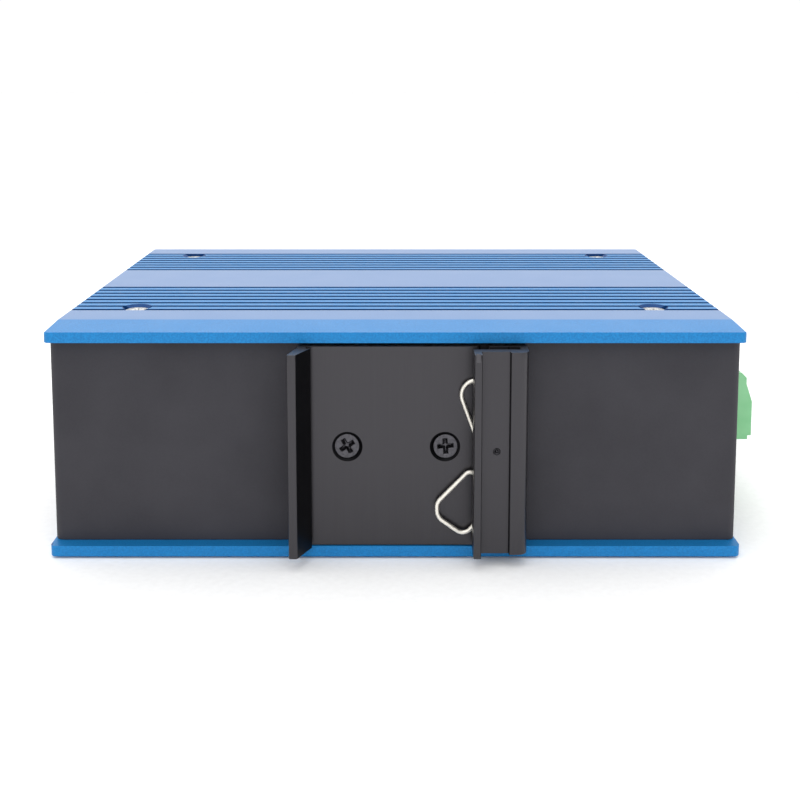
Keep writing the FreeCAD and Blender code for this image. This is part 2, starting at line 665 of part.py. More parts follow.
def front_panel():
    """Front sheet with the port windows, a folded lip along each of its four sides."""
    body = new_body("front_panel")
    back = f"({PANEL_FACE} - panel_lip)"
    bend = f"({PANEL_HALF} - sheet - bend_radius)"
    lip_low = f"({CASE_LOW} + sheet + bend_radius)"
    lip_high = f"({CASE_HIGH} - sheet - bend_radius)"
    folded = flat(body, lip_low)
    outline(folded, [
        (f"-{PANEL_HALF}", back), (f"-{PANEL_HALF}", PANEL_FACE), (PANEL_HALF, PANEL_FACE),
        (PANEL_HALF, back), (f"{PANEL_HALF} - sheet", back),
        (f"{PANEL_HALF} - sheet", f"{PANEL_FACE} - sheet"),
        (f"-{PANEL_HALF} + sheet", f"{PANEL_FACE} - sheet"), (f"-{PANEL_HALF} + sheet", back)])
    pad(body, folded, f"{lip_high} - {lip_low}")
    soften(body, "bend_radius", lambda edge: runs(edge, "Z") and lies_at(
        edge, deep=f"{PANEL_FACE} - sheet"))
    soften(body, "bend_radius + sheet", lambda edge: runs(edge, "Z") and lies_at(
        edge, deep=PANEL_FACE))
    channel = endways(body, f"-{bend}")
    outline(channel, [
        (back, CASE_LOW), (PANEL_FACE, CASE_LOW), (PANEL_FACE, CASE_HIGH), (back, CASE_HIGH),
        (back, f"{CASE_HIGH} - sheet"), (f"{PANEL_FACE} - sheet", f"{CASE_HIGH} - sheet"),
        (f"{PANEL_FACE} - sheet", f"{CASE_LOW} + sheet"), (back, f"{CASE_LOW} + sheet")])
    pad(body, channel, f"2 * {bend}")
    threads = flat(body, "case_height")
    for across, deep in FRONT_SCREWS:
        octagon(threads, across, deep, "small_screw_radius + seat_play")
    cut(body, threads)
    window = facing(body, f"{PANEL_FACE} - 2 * sheet")
    reach = "(port_width / 2 + port_window_play)"
    rectangle(window, f"{FIRST_PORT} - {reach}", f"{FIRST_PORT} + {reach}",
              "board_top - port_window_play", "board_top + port_height + port_window_play")
    repeat(body, cut(body, window, "3 * sheet"), "X", "port_count", "port_pitch")
    light = facing(body, f"{PANEL_FACE} - 2 * sheet")
    rectangle(light, f"{FIRST_LED} - led_width / 2 - screw_play",
              f"{FIRST_LED} + led_width / 2 + screw_play",
              "board_top + led_rise - led_height / 2 - screw_play",
              "board_top + led_rise + led_height / 2 + screw_play")
    repeat(body, cut(body, light, "3 * sheet"), "X", "led_count", "led_pitch")
    return finish(body, "front_panel")


# ---------------------------------------------------------------- rail clip
def din_clip():
    """One extrusion along Z: base plate, fixed hook and the channel for the spring wire."""
    body = new_body("din_clip")

    def out(height):
        return f"{CLIP_FACE} - ({height})"

    lip = "(-hook_lip)"
    foot = f"({lip} - hook_root)"
    tip = f"({lip} - hook_lean)"
    ridge = RIDGE_FACE
    cover_end = f"({ridge} + channel_depth + channel_wall)"
    step = f"({cover_end} - shoulder_width)"
    relief = f"({ridge} + relief_start)"
    section = flat(body, CLIP_LOW)
    outline(section, [
        (foot, WALL_REAR), (cover_end, WALL_REAR),
        (cover_end, out("shoulder_height")), (step, out("shoulder_height")),
        (step, out("cover_height")), (f"{ridge} + ridge_width", out("cover_height")),
        (f"{ridge} + ridge_width", out("hook_height")), (ridge, out("hook_height")),
        (ridge, out("channel_height")), (f"{ridge} + channel_depth", out("channel_height")),
        (f"{ridge} + channel_depth", CLIP_FACE), (f"{relief} + relief_width", CLIP_FACE),
        (f"{relief} + relief_width", out("-relief_depth")), (relief, out("-relief_depth")),
        (relief, CLIP_FACE), (f"{lip} - undercut_depth", CLIP_FACE),
        (f"{lip} - undercut_depth", out("undercut_height")), (lip, out("undercut_height")),
        (tip, out("hook_height")), (f"{tip} - hook_tip", out("hook_height")),
        (foot, out("hook_foot"))])
    pad(body, section, f"{CLIP_HIGH} - {CLIP_LOW}")
    soften(body, "shoulder_radius", lambda edge: runs(edge, "Z") and lies_at(
        edge, across=cover_end, deep=out("shoulder_height")))
    soften(body, "tip_radius", lambda edge: runs(edge, "Z") and lies_at(
        edge, deep=out("hook_height")))
    seats = facing(body, CLIP_FACE)
    for across in CLIP_SCREWS:
        ring(seats, across, CLIP_MIDDLE, "clip_screw_radius")
    sink_holes(body, seats, "clip_screw_radius + screw_play", "clip_sink_radius")
    pin = facing(body, out("shoulder_height"))
    ring(pin, f"{ridge} + pin_inset", f"{CLIP_MIDDLE} + pin_rise", "pin_radius + seat_play")
    cut(body, pin, "shoulder_height - wire_lift")
    return finish(body, "din_clip")


def clip_fasteners():
    """Two countersunk screws, the weld nuts behind them and the pin that keeps the spring."""
    screw = sunk_screw("clip_screw", "clip_head_radius", "clip_screw_radius",
                       "clip_screw_length", cross="clip_head_radius / small_head_radius")
    nut = bored_hexagon("clip_nut", "nut_flats", "clip_screw_radius + seat_play", "nut_height")
    outward = spun(("X", 90))
    inward = spun(("X", -90))
    sunk = "(clip_sink_radius - clip_head_radius - seat_play * 1.5)"
    group("clip_screws", screw,
          [(across, f"{CLIP_FACE} + {sunk}", CLIP_MIDDLE) for across in CLIP_SCREWS],
          [outward * spun(("Z", 32)), outward * spun(("Z", 4))])
    group("clip_nuts", nut,
          [(across, f"{WALL_REAR} + sheet", CLIP_MIDDLE) for across in CLIP_SCREWS],
          [inward] * 2)
    pin = doc.addObject("Part::Cylinder", "spring_pin")
    pin.setExpression("Radius", cell("pin_radius"))
    pin.setExpression("Height", cell("cover_height"))
    place(pin, f"{RIDGE_FACE} + pin_inset", CLIP_FACE, f"{CLIP_MIDDLE} + pin_rise", outward)
    doc.recompute()
    return finish(pin, "spring_pin")


WIRE_FLATS = 6
# Corners of the spring wire from its upper end to its lower end: the distance in from the
# ridge's face, the height over the clip's middle and the radius that rounds it.
PIN_SIDE = "(pin_inset + pin_radius + wire_diameter)"
SPRING_ROUTE = [
    (f"{PIN_SIDE} + tail_in", "upper_loop_top", "wire_bend"),
    ("-upper_reach", "upper_loop_top", "upper_bend"),
    ("upper_foot_in", "upper_loop_foot", "wire_bend"),
    (PIN_SIDE, "pin_rise + pin_crook_rise", "wire_bend"),
    (PIN_SIDE, "-inner_crook", "wire_bend"),
    ("-lower_crook_out", "-lower_loop_top", "wire_bend"),
    ("-lower_reach", "-lower_nose_top", "wire_bend"),
    ("lower_nose_back - lower_reach", "-lower_nose_foot", "wire_bend"),
    ("-lower_heel_out", "-lower_loop_foot", "wire_bend"),
    ("lower_tail_in", "-lower_tail", "wire_bend")]


def bent_wire(corners, bends, radius):
    """Wire along straight runs joined by tangent arcs; its round section has six flats."""
    pieces = []
    start = corners[0]
    heading = (corners[1] - start).normalize()
    spoke = heading.cross(FreeCAD.Vector(0, 1, 0)).normalize() * radius
    rim = [start + FreeCAD.Rotation(heading, 360 * (step + 0.5) / WIRE_FLATS).multVec(spoke)
           for step in range(WIRE_FLATS)]
    section = Part.Face(Part.makePolygon(rim + rim[:1]))
    for before, corner, after, bend in zip(corners, corners[1:], corners[2:], bends[1:]):
        back = (before - corner).normalize()
        ahead = (after - corner).normalize()
        swing = math.pi - back.getAngle(ahead)
        enter = corner + back * (bend * math.tan(swing / 2))
        pieces.append(section.extrude(enter - start))
        section.translate(enter - start)
        hub = corner + (back + ahead).normalize() * (bend / math.cos(swing / 2))
        axle = ahead.cross(back).normalize()
        pieces.append(section.revolve(hub, axle, math.degrees(swing)))
        section.rotate(hub, axle, math.degrees(swing))
        start = corner + ahead * (bend * math.tan(swing / 2))
    pieces.append(section.extrude(corners[-1] - start))
    return pieces[0].multiFuse(pieces[1:])


def clip_spring():
    """One spring wire in the channel, bent round the pin, with a loop above and below it."""
    deep = amount_of(f"{CLIP_FACE} - wire_lift")
    corners = [
        FreeCAD.Vector(amount_of(f"{RIDGE_FACE} + {inward}"), deep, amount_of(f"{CLIP_MIDDLE} + {rise}"))
        for inward, rise, _ in SPRING_ROUTE]
    bends = [amount_of(bend) for _, _, bend in SPRING_ROUTE]
    wire = doc.addObject("Part::Feature", "clip_spring")
    wire.Shape = bent_wire(corners, bends, amount_of("wire_diameter / 2"))
    return finish(wire, "clip_spring")


# ---------------------------------------------------------------- circuit board
STANDOFF_X = f"({CASE_END} - end_flange - standoff_end)"
STANDOFFS = [
    (side, deep) for side in (f"-{STANDOFF_X}", STANDOFF_X)
    for deep in (STANDOFF_REAR, f"{TRANSFORMER_Y} - transformer_width / 2 - standoff_front")]


def circuit_board():
    """Green laminate with its screw holes and the holes for the header pins."""
    body = new_body("circuit_board")
    sheet = flat(body, "board_top - board_thickness")
    rectangle(sheet, f"-{BOARD_HALF}", BOARD_HALF, BOARD_REAR, BOARD_FRONT)
    pad(body, sheet, "board_thickness")
    screws = flat(body, "board_top")
    for across, deep in STANDOFFS:
        octagon(screws, across, deep, "small_screw_radius + screw_play")
    cut(body, screws)
    pin = flat(body, "board_top")
    leg = f"({HEADER_REAR} - pin_setback)"
    play = "(pin_width / 2 + seat_play)"
    rectangle(pin, f"{leg} - {play}", f"{leg} + {play}",
              f"{FIRST_POLE} - {play}", f"{FIRST_POLE} + {play}")
    repeat(body, cut(body, pin), "Y", "pole_count", "pole_pitch")
    return finish(body, "circuit_board")


def board_fasteners():
    """Hexagon standoffs on the lower plate and the screws that hold the board on them."""
    standoff = bored_hexagon("standoff", "standoff_flats", "small_screw_radius + seat_play",
                             "board_top - board_thickness - plate_thickness")
    group("board_standoffs", standoff, [(x, y, "plate_thickness") for x, y in STANDOFFS])
    screw = pan_screw("board_screw", "pan_head_radius", "pan_head_height", "small_screw_radius",
                      "small_screw_length", rim=octagon)
    group("board_screws", screw, [(x, y, "board_top + pan_head_height") for x, y in STANDOFFS])


# ---------------------------------------------------------------- ports
SOCKET_HIGH = "(port_height - socket_top)"
SOCKET_LOW = f"({SOCKET_HIGH} - socket_height)"
NOTCH_LOW = f"({SOCKET_LOW} - latch_height)"
SLOT_LOW = f"({NOTCH_LOW} - latch_slot_height)"
LIGHT_X = "(latch_width / 2 + light_gap)"
LIGHT_LOW = "(2 * shield_wall)"


def set_port(item, index, label):
    place(item, f"{FIRST_PORT} + {index} * port_pitch", PORT_FACE, "board_top")
    return finish(item, label)


def port_shield(index):
    """Stamped steel box round the insert, open below and at the front window."""
    body = new_body("port_shield")
    half = "port_width / 2"
    outer = flat(body)
    rectangle(outer, f"-{half}", half, "-port_depth", "0")
    pad(body, outer, "port_height")
    room = flat(body, "port_height - shield_wall")
    inside = f"({half} - shield_wall)"
    rectangle(room, f"-{inside}", inside, "-port_depth + shield_wall", "-shield_wall")
    cut(body, room)
    window = facing(body, "-2 * shield_wall")
    rim = f"({inside} - 2 * shield_wall)"
    rectangle(window, f"-{rim}", rim, "-shield_wall", "port_height - 3 * shield_wall")
    cut(body, window, "4 * shield_wall")
    return set_port(body, index, f"port_shield_{index + 1}")


def port_insert(index):
    """Moulded insert: a stepped socket with a latch notch below, and two light windows."""
    body = new_body("port_insert")
    half = "(port_width / 2 - shield_wall)"
    block = flat(body)
    rectangle(block, f"-{half}", half, "-port_depth + shield_wall", "-shield_wall")
    pad(body, block, "port_height - shield_wall")
    mouth = facing(body, "-socket_depth")
    side = "socket_width / 2"
    notch = "latch_width / 2"
    slot = "latch_slot_width / 2"
    outline(mouth, [
        (f"-{side}", SOCKET_HIGH), (f"-{side}", SOCKET_LOW), (f"-{notch}", SOCKET_LOW),
        (f"-{notch}", NOTCH_LOW), (f"-{slot}", NOTCH_LOW), (f"-{slot}", SLOT_LOW),
        (slot, SLOT_LOW), (slot, NOTCH_LOW), (notch, NOTCH_LOW), (notch, SOCKET_LOW),
        (side, SOCKET_LOW), (side, SOCKET_HIGH)])
    cut(body, mouth, "socket_depth")
    lights = facing(body, "-3 * shield_wall - light_height")
    for left in (f"-{LIGHT_X} - light_width", LIGHT_X):
        rectangle(lights, left, f"{left} + light_width", LIGHT_LOW,
                  f"{LIGHT_LOW} + light_height")
    cut(body, lights, "port_depth")
    return set_port(body, index, f"port_insert_{index + 1}")


def port_contacts(index):
    """Eight sprung contacts that come out of the socket's back wall and slope to the mouth."""
    body = new_body("port_contacts")
    back = "-socket_depth"
    front = "-contact_front"
    top = f"({SOCKET_HIGH} - contact_clearance)"
    strip = endways(body, "-(contact_count - 1) * contact_pitch / 2 - contact_width / 2")
    outline(strip, [
        (back, top), (back, f"{top} - contact_thickness"),
        (f"{front} - contact_tip", f"{top} - contact_drop - contact_thickness"),
        (front, f"{top} - contact_drop + contact_tip_rise - contact_thickness"),
        (front, f"{top} - contact_drop + contact_tip_rise"),
        (f"{front} - contact_tip", f"{top} - contact_drop")])
    repeat(body, pad(body, strip, "contact_width"), "X", "contact_count", "contact_pitch")
    return set_port(body, index, f"port_contacts_{index + 1}")


def port_lights():
    """Clear light windows in the lower corners of every socket."""
    lens = doc.addObject("Part::Box", "light_window")
    lens.setExpression("Length", cell("light_width"))
    lens.setExpression("Width", cell("light_height + 2 * shield_wall"))
    lens.setExpression("Height", cell("light_height"))
    places = []
    for index in range(int(amount_of("port_count"))):
        for left in (f"-{LIGHT_X} - light_width", LIGHT_X):
            places.append((f"{FIRST_PORT} + {index} * port_pitch + ({left})",
                           f"{PORT_FACE} - 3 * shield_wall - light_height",
                           f"board_top + {LIGHT_LOW}"))
    group("port_lights", lens, places)


def status_lights():
    """Three oblong status lights in black holders on the board."""
    middle = "led_rise"
    holder = new_body("led_holder")
    half = "(led_width / 2 + holder_wall)"
    block = flat(holder)
    rectangle(block, f"-{half}", half, "-holder_depth", "0")
    pad(holder, block, f"{middle} + led_height / 2 + holder_wall")
    bore = facing(holder, "-2 * holder_depth")
    rectangle(bore, "-led_width / 2 - seat_play", "led_width / 2 + seat_play",
              f"{middle} - led_height / 2 - seat_play", f"{middle} + led_height / 2 + seat_play")
    cut(holder, bore, "3 * holder_depth")
    light = doc.addObject("Part::Box", "led")
    front = f"({BOARD_FRONT} - board_front_gap)"
    back = f"({front} - holder_depth / 2)"
    light.setExpression("Length", cell("led_width"))
    light.setExpression("Width", cell(f"{PANEL_FACE} + led_proud - {back}"))
    light.setExpression("Height", cell("led_height"))
    spots = [f"{FIRST_LED} + {index} * led_pitch" for index in range(int(amount_of("led_count")))]
    group("status_led_holders", holder, [(spot, front, "board_top") for spot in spots])
    group("status_leds", light, [
        (f"{spot} - led_width / 2", back, f"board_top + {middle} - led_height / 2")
        for spot in spots])


# ---------------------------------------------------------------- terminal
def terminal_header():
    """Shroud that stands on the board, open towards +X, with a hole for each pin."""
    body = new_body("terminal_header")
    low = f"{TERMINAL_Y} - {HEADER_HALF}"
    high = f"{TERMINAL_Y} + {HEADER_HALF}"
    block = flat(body, "board_top")
    rectangle(block, HEADER_REAR, CASE_END, low, high)
    pad(body, block, "header_height")
    room = endways(body, CASE_END)
    rectangle(room, f"{low} + header_wall", f"{high} - header_wall",
              "board_top + header_wall", "board_top + header_height - header_wall")
    cut(body, room, "header_depth - header_floor")
    hole = endways(body, f"{HEADER_REAR} + 2 * header_floor")
    half = "(pin_width / 2 + seat_play)"
    rectangle(hole, f"{FIRST_POLE} - {half}", f"{FIRST_POLE} + {half}",
              f"{PIN_LEVEL} - {half}", f"{PIN_LEVEL} + {half}")
    repeat(body, cut(body, hole), "Y", "pole_count", "pole_pitch")
    return finish(body, "terminal_header")


def header_pins():
    """Square pins bent down behind the header and through the board."""
    body = new_body("header_pins")
    half = "pin_width / 2"
    leg = f"({HEADER_REAR} - pin_setback)"
    tip = f"({HEADER_REAR} + header_floor + pin_reach)"
    bent = facing(body, f"{FIRST_POLE} + {half}")
    outline(bent, [
        (f"{leg} - {half}", "board_top - board_thickness - pin_tail"),
        (f"{leg} + {half}", "board_top - board_thickness - pin_tail"),
        (f"{leg} + {half}", f"{PIN_LEVEL} - {half}"), (tip, f"{PIN_LEVEL} - {half}"),
        (tip, f"{PIN_LEVEL} + {half}"), (f"{leg} - {half}", f"{PIN_LEVEL} + {half}")])
    repeat(body, pad(body, bent, "pin_width"), "Y", "pole_count", "pole_pitch")
    return finish(body, "header_pins")


def terminal_plug():
    """Pull-off plug: a nose that fits the shroud and a taller block with a slanted face."""
    body = new_body("terminal_plug")
    half = "(pole_count * pole_pitch / 2)"
    top = f"({PLUG_LOW} + plug_height)"
    nose_tip = f"({HEADER_REAR} + header_floor + plug_play)"
    profile = facing(body, f"{TERMINAL_Y} + {half}")
    outline(profile, [
        (PLUG_BACK, PLUG_LOW), (f"{PLUG_FRONT} - plug_toe", PLUG_LOW),
        (f"{PLUG_FRONT} - plug_toe", f"{PLUG_LOW} + plug_toe_height"),
        (PLUG_FRONT, f"{PLUG_LOW} + plug_toe_height"), (PLUG_FRONT, f"{top} - plug_face_top"),
        (f"{PLUG_BACK} + plug_shoulder", f"{top} - plug_chamfer - plug_ledge"),
        (f"{PLUG_BACK} + plug_shoulder", f"{top} - plug_chamfer"),
        (f"{PLUG_BACK} + plug_shoulder - plug_chamfer", top), (PLUG_BACK, top)])
    pad(body, profile, f"2 * {half}")
    nose = endways(body, nose_tip)
    rectangle(nose, f"{TERMINAL_Y} - {half} + plug_play", f"{TERMINAL_Y} + {half} - plug_play",
              NOSE_LOW, NOSE_HIGH)
    pad(body, nose, f"{PLUG_BACK} - {nose_tip}")
    entry = endways(body, f"{PLUG_FRONT} + plug_play")
    width = "wire_entry_width / 2"
    rectangle(entry, f"{FIRST_POLE} - {width}", f"{FIRST_POLE} + {width}",
              ENTRY_LOW, f"{ENTRY_LOW} + wire_entry_height")
    repeat(body, cut(body, entry, "wire_entry_depth + plug_play"), "Y", "pole_count",
           "pole_pitch")
    driver = flat(body, top)
    ring(driver, f"{PLUG_BACK} + driver_inset", FIRST_POLE, "driver_radius")
    repeat(body, cut(body, driver, f"{top} - {ENTRY_LOW} - wire_entry_height / 2"), "Y",
           "pole_count", "pole_pitch")
    pin = endways(body, f"{PLUG_FRONT} - wire_entry_depth")
    square = "socket_pin_width / 2"
    rectangle(pin, f"{FIRST_POLE} - {square}", f"{FIRST_POLE} + {square}",
              f"{PIN_LEVEL} - {square}", f"{PIN_LEVEL} + {square}")
    repeat(body, cut(body, pin), "Y", "pole_count", "pole_pitch")
    return finish(body, "terminal_plug")


def plug_fittings():
    """Square wire clamps in the plug's entries and the slotted screws that close them."""
    clamp = new_body("plug_clamp")
    half = "(wire_entry_width / 2 - seat_play)"
    high = "(wire_entry_height - 2 * seat_play)"
    tube = endways(clamp)
    rectangle(tube, f"-{half}", half, "0", high)
    pad(clamp, tube, "clamp_length")
    bore = endways(clamp, "clamp_length")
    rectangle(bore, f"-{half} + clamp_wall", f"{half} - clamp_wall", "clamp_wall",
              f"{high} - clamp_wall")
    cut(clamp, bore)
    poles = [f"{FIRST_POLE} + {index} * pole_pitch" for index in range(int(amount_of("pole_count")))]
    back = f"({PLUG_FRONT} - wire_entry_depth)"
    group("plug_clamps", clamp, [(back, pole, f"{ENTRY_LOW} + seat_play") for pole in poles])
    screw = new_body("plug_screw")
    pad(screw, octagon(flat(screw), "0", "0", f"driver_radius * {SHANK_FLATS} - seat_play"),
        "driver_screw_height")
    slot = flat(screw, "driver_screw_height")
    rectangle(slot, "-driver_radius", "driver_radius", "-driver_slot / 2", "driver_slot / 2")
    cut(screw, slot, "1.5 * driver_slot")
    group("plug_screws", screw,
          [(f"{PLUG_BACK} + driver_inset", pole, f"{ENTRY_LOW} + wire_entry_height") for pole in poles],
          [spun(("Z", 30 + 25 * index)) for index in range(len(poles))])


# ---------------------------------------------------------------- components on the board
def component(label, length, width, height, across, deep, rounding=None):
    """Moulded component that stands on the board, its middle at the given place."""
    body = new_body(label)
    base = flat(body)
    rectangle(base, f"-{length} / 2", f"{length} / 2", f"-{width} / 2", f"{width} / 2")
    pad(body, base, height)
    if rounding:
        soften(body, rounding, lambda edge: runs(edge, "Z"))
    place(body, across, deep, "board_top")
    return body


def board_components():
    board_middle = f"(({BOARD_REAR} + {BOARD_FRONT}) / 2)"
    chip_x = f"({FIRST_PORT} + 2 * port_pitch)"
    chip_y = f"({board_middle} - sink_size / 2)"
    finish(component("switch_chip", "chip_size", "chip_size", "chip_thickness", chip_x, chip_y),
           "switch_chip")
    sink = new_body("chip_heatsink")
    half = "sink_size / 2"
    block = flat(sink)
    rectangle(block, f"-{half}", half, f"-{half}", half)
    pad(sink, block, "sink_height")
    slot = endways(sink, half)
    fin = "((sink_size - sink_slots * sink_slot) / (sink_slots + 1))"
    rectangle(slot, f"-{half} + {fin}", f"-{half} + {fin} + sink_slot", "sink_base",
              "2 * sink_height")
    repeat(sink, cut(sink, slot), "Y", "sink_slots", f"({fin} + sink_slot)")
    place(sink, chip_x, chip_y, "board_top + chip_thickness")
    finish(sink, "chip_heatsink")

    transformer = component("transformer", "transformer_length", "transformer_width",
                            "transformer_height", "0", "0")
    group("network_transformers", transformer, [
        (f"{FIRST_PORT} + {index} * port_pitch", TRANSFORMER_Y, "board_top")
        for index in range(int(amount_of("port_count")))])

    relay_x = f"({HEADER_REAR} - pin_setback - component_gap - relay_length / 2)"
    finish(component("alarm_relay", "relay_length", "relay_width", "relay_height", relay_x,
                     TERMINAL_Y, "0.4"), "alarm_relay")
    inductor_x = f"({relay_x} - relay_length / 2 - component_gap - inductor_size / 2)"
    finish(component("power_inductor", "inductor_size", "inductor_size", "inductor_height",
                     inductor_x, TERMINAL_Y, "1.2"), "power_inductor")
    regulator_y = f"({TERMINAL_Y} - inductor_size / 2 - component_gap - regulator_width / 2)"
    finish(component("power_regulator", "regulator_length", "regulator_width",
                     "regulator_height", inductor_x, regulator_y), "power_regulator")
    crystal_x = f"({chip_x} - sink_size / 2 - component_gap - crystal_width / 2)"
    finish(component("clock_crystal", "crystal_width", "crystal_length", "crystal_height",
                     crystal_x, chip_y, "crystal_round"), "clock_crystal")

    can = doc.addObject("Part::Cylinder", "capacitor")
    can.setExpression("Radius", cell("capacitor_radius"))
    can.setExpression("Height", cell("capacitor_height"))
    can_y = f"({TERMINAL_Y} + relay_width / 2 + component_gap + capacitor_radius)"
    can_x = f"({HEADER_REAR} - pin_setback - capacitor_gap - capacitor_radius)"
    group("smoothing_capacitors", can, [
        (can_x, f"{can_y} + {step} * capacitor_pitch", "board_top") for step in (0, 1)])


# ---------------------------------------------------------------- earth screw
def earth_point():
    """Pan head screw on the end wall and the weld nut behind it."""
    out = spun(("Y", 90))
    screw = pan_screw("earth_screw", "earth_head_radius", "earth_head_height", "earth_radius",
                      "earth_length")
    cross_recess(screw, "earth_head_radius / small_head_radius")
    place(screw, f"{CASE_END} + earth_head_height", EARTH_Y, PIN_LEVEL,
          out * spun(("Z", 12)))
    finish(screw, "earth_screw")
    nut = bored_hexagon("earth_nut", "earth_nut_flats", "earth_radius + seat_play", "nut_height")
    place(nut, f"{CASE_END} - sheet", EARTH_Y, PIN_LEVEL, spun(("Y", -90)))
    finish(nut, "earth_nut")


# ---------------------------------------------------------------- build, check and write
lower_side_plate(upper_side_plate())
plate_fasteners()
case_shell()
front_panel()
din_clip()
clip_fasteners()
clip_spring()
circuit_board()
board_fasteners()
for number in range(int(amount_of("port_count"))):
    port_shield(number)
    port_insert(number)
    port_contacts(number)
port_lights()
status_lights()
terminal_header()
header_pins()
terminal_plug()
plug_fittings()
board_components()
earth_point()
doc.recompute()

for item in doc.Objects:
    if "Invalid" in item.State or "Error" in item.State:
        raise RuntimeError(f"{item.Label} did not build: {item.State}")
for item in finished:
    if item.Shape.isNull() or not item.Shape.isValid():
        raise RuntimeError(f"{item.Label} has no sound shape")
for item in finished:
    item.Shape.exportStep(f"parts/{item.Label}.step")
    box = item.Shape.BoundBox
    print(f"{item.Label:22s} solids {len(item.Shape.Solids)}  volume {item.Shape.Volume:9.1f}  "
          f"X {box.XMin:7.2f} {box.XMax:7.2f}  Y {box.YMin:7.2f} {box.YMax:7.2f}  "
          f"Z {box.ZMin:6.2f} {box.ZMax:6.2f}")
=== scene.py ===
# %% [markdown]
# # DIN rail ethernet switch
# An industrial network switch for a cabinet rail, lying on one of its two blue side plates.
# The CAD model gives every solid piece its size and place. This script gives the pieces their
# finishes, rounds the edges that catch the light, adds the small worn and bent things that a
# plain solid lacks, and lights the whole as on a white studio table.

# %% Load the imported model
import json
import math

import bmesh
import bpy
import numpy as np
from mathutils import Euler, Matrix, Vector


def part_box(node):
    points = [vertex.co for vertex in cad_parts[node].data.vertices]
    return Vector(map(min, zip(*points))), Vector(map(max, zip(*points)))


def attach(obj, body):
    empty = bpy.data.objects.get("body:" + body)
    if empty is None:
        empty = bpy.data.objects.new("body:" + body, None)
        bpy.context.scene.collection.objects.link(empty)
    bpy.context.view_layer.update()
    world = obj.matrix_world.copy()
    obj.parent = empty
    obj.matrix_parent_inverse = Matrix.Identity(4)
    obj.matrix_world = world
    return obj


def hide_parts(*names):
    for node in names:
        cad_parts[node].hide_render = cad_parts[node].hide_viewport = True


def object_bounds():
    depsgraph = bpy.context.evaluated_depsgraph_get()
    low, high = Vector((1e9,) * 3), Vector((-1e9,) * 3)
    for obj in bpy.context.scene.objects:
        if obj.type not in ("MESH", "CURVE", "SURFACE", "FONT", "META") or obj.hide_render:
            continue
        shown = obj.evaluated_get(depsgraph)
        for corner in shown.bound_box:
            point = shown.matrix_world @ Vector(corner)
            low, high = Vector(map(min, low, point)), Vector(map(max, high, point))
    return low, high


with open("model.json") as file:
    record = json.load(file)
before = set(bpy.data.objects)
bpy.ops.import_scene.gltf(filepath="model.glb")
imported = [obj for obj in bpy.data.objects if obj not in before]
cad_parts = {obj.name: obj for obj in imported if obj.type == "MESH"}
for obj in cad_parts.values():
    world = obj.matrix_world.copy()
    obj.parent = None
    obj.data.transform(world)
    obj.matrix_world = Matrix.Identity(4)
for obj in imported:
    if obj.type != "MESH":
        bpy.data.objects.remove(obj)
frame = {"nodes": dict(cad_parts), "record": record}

CAD_BOX = [list(corner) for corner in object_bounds()]
MM = 0.001
print("CAD box in millimetres:", [[round(v / MM, 2) for v in corner] for corner in CAD_BOX])

# %% [markdown]
# ## Camera
# The switch is seen square on from the rear, a little from above, with upright lines that stay
# almost upright. A view camera does that with its lens shifted down. Part of that shift is
# replaced by a slight tilt, so that the lens sits close to the middle of the picture.

# %% Camera
SENSOR, LENS = 36.0, 50.04
SHIFT = (0.0059, -0.25)
EYE = (0.00002, -0.2711, 0.09904)
TILT = math.radians(6.446)

camera = bpy.data.objects.new("camera", bpy.data.cameras.new("camera"))
bpy.context.collection.objects.link(camera)
camera.data.sensor_width = SENSOR
camera.data.lens = LENS
camera.data.shift_x, camera.data.shift_y = SHIFT
camera.data.clip_start = 0.01
camera.data.clip_end = 20.0
camera.location = EYE
camera.rotation_euler = Euler((math.radians(90) - TILT, 0, 0))
bpy.context.scene.camera = camera
print("camera at", tuple(round(v, 4) for v in camera.location))

# %% [markdown]
# ## Colours and shader nodes
# Colours are written as the hex values that a screen shows. A shader works with linear light,
# so one function turns the first into the second. A second function adds a node. What it is
# told for an input may be a value or another node's output, and an output is linked.


# %% Colours and nodes
def linear(code):
    """sRGB hex to linear colour: c / 12.92 near black, ((c + 0.055) / 1.055) ** 2.4 above it."""
    parts = [int(code[i:i + 2], 16) / 255 for i in (0, 2, 4)]
    return tuple(c / 12.92 if c <= 0.04045 else ((c + 0.055) / 1.055) ** 2.4 for c in parts) + (1.0,)


def add(tree, kind, settings=None):
    """Add a node. A key is an input's name or number, or a property; outputs are linked."""
    node = tree.nodes.new("ShaderNode" + kind)
    for key, value in (settings or {}).items():
        if isinstance(value, bpy.types.NodeSocket):
            tree.links.new(value, node.inputs[key])
        elif isinstance(key, int) or key in node.inputs:
            node.inputs[key].default_value = value
        else:
            setattr(node, key, value)
    return node


print("the grey 808080 is", round(linear("808080")[0], 3), "in linear light")

# %% [markdown]
# ## A finish made of grain
# Every finish here has small marks: grains, blotches, fibres or lines. Noise on the object's own
# coordinates can be all of these, because its scale is one over the real size of a mark. Noise
# lies mostly between 0.3 and 0.7, so that range is spread over the finish's two colours and its
# two roughness values, and the same noise as a height gives the relief. Pictures of real
# surfaces would do as well, but they need unwrapped pieces and blur when seen from close by. The
# simplest example is the white paper under the switch, whose fibres hardly change its colour.


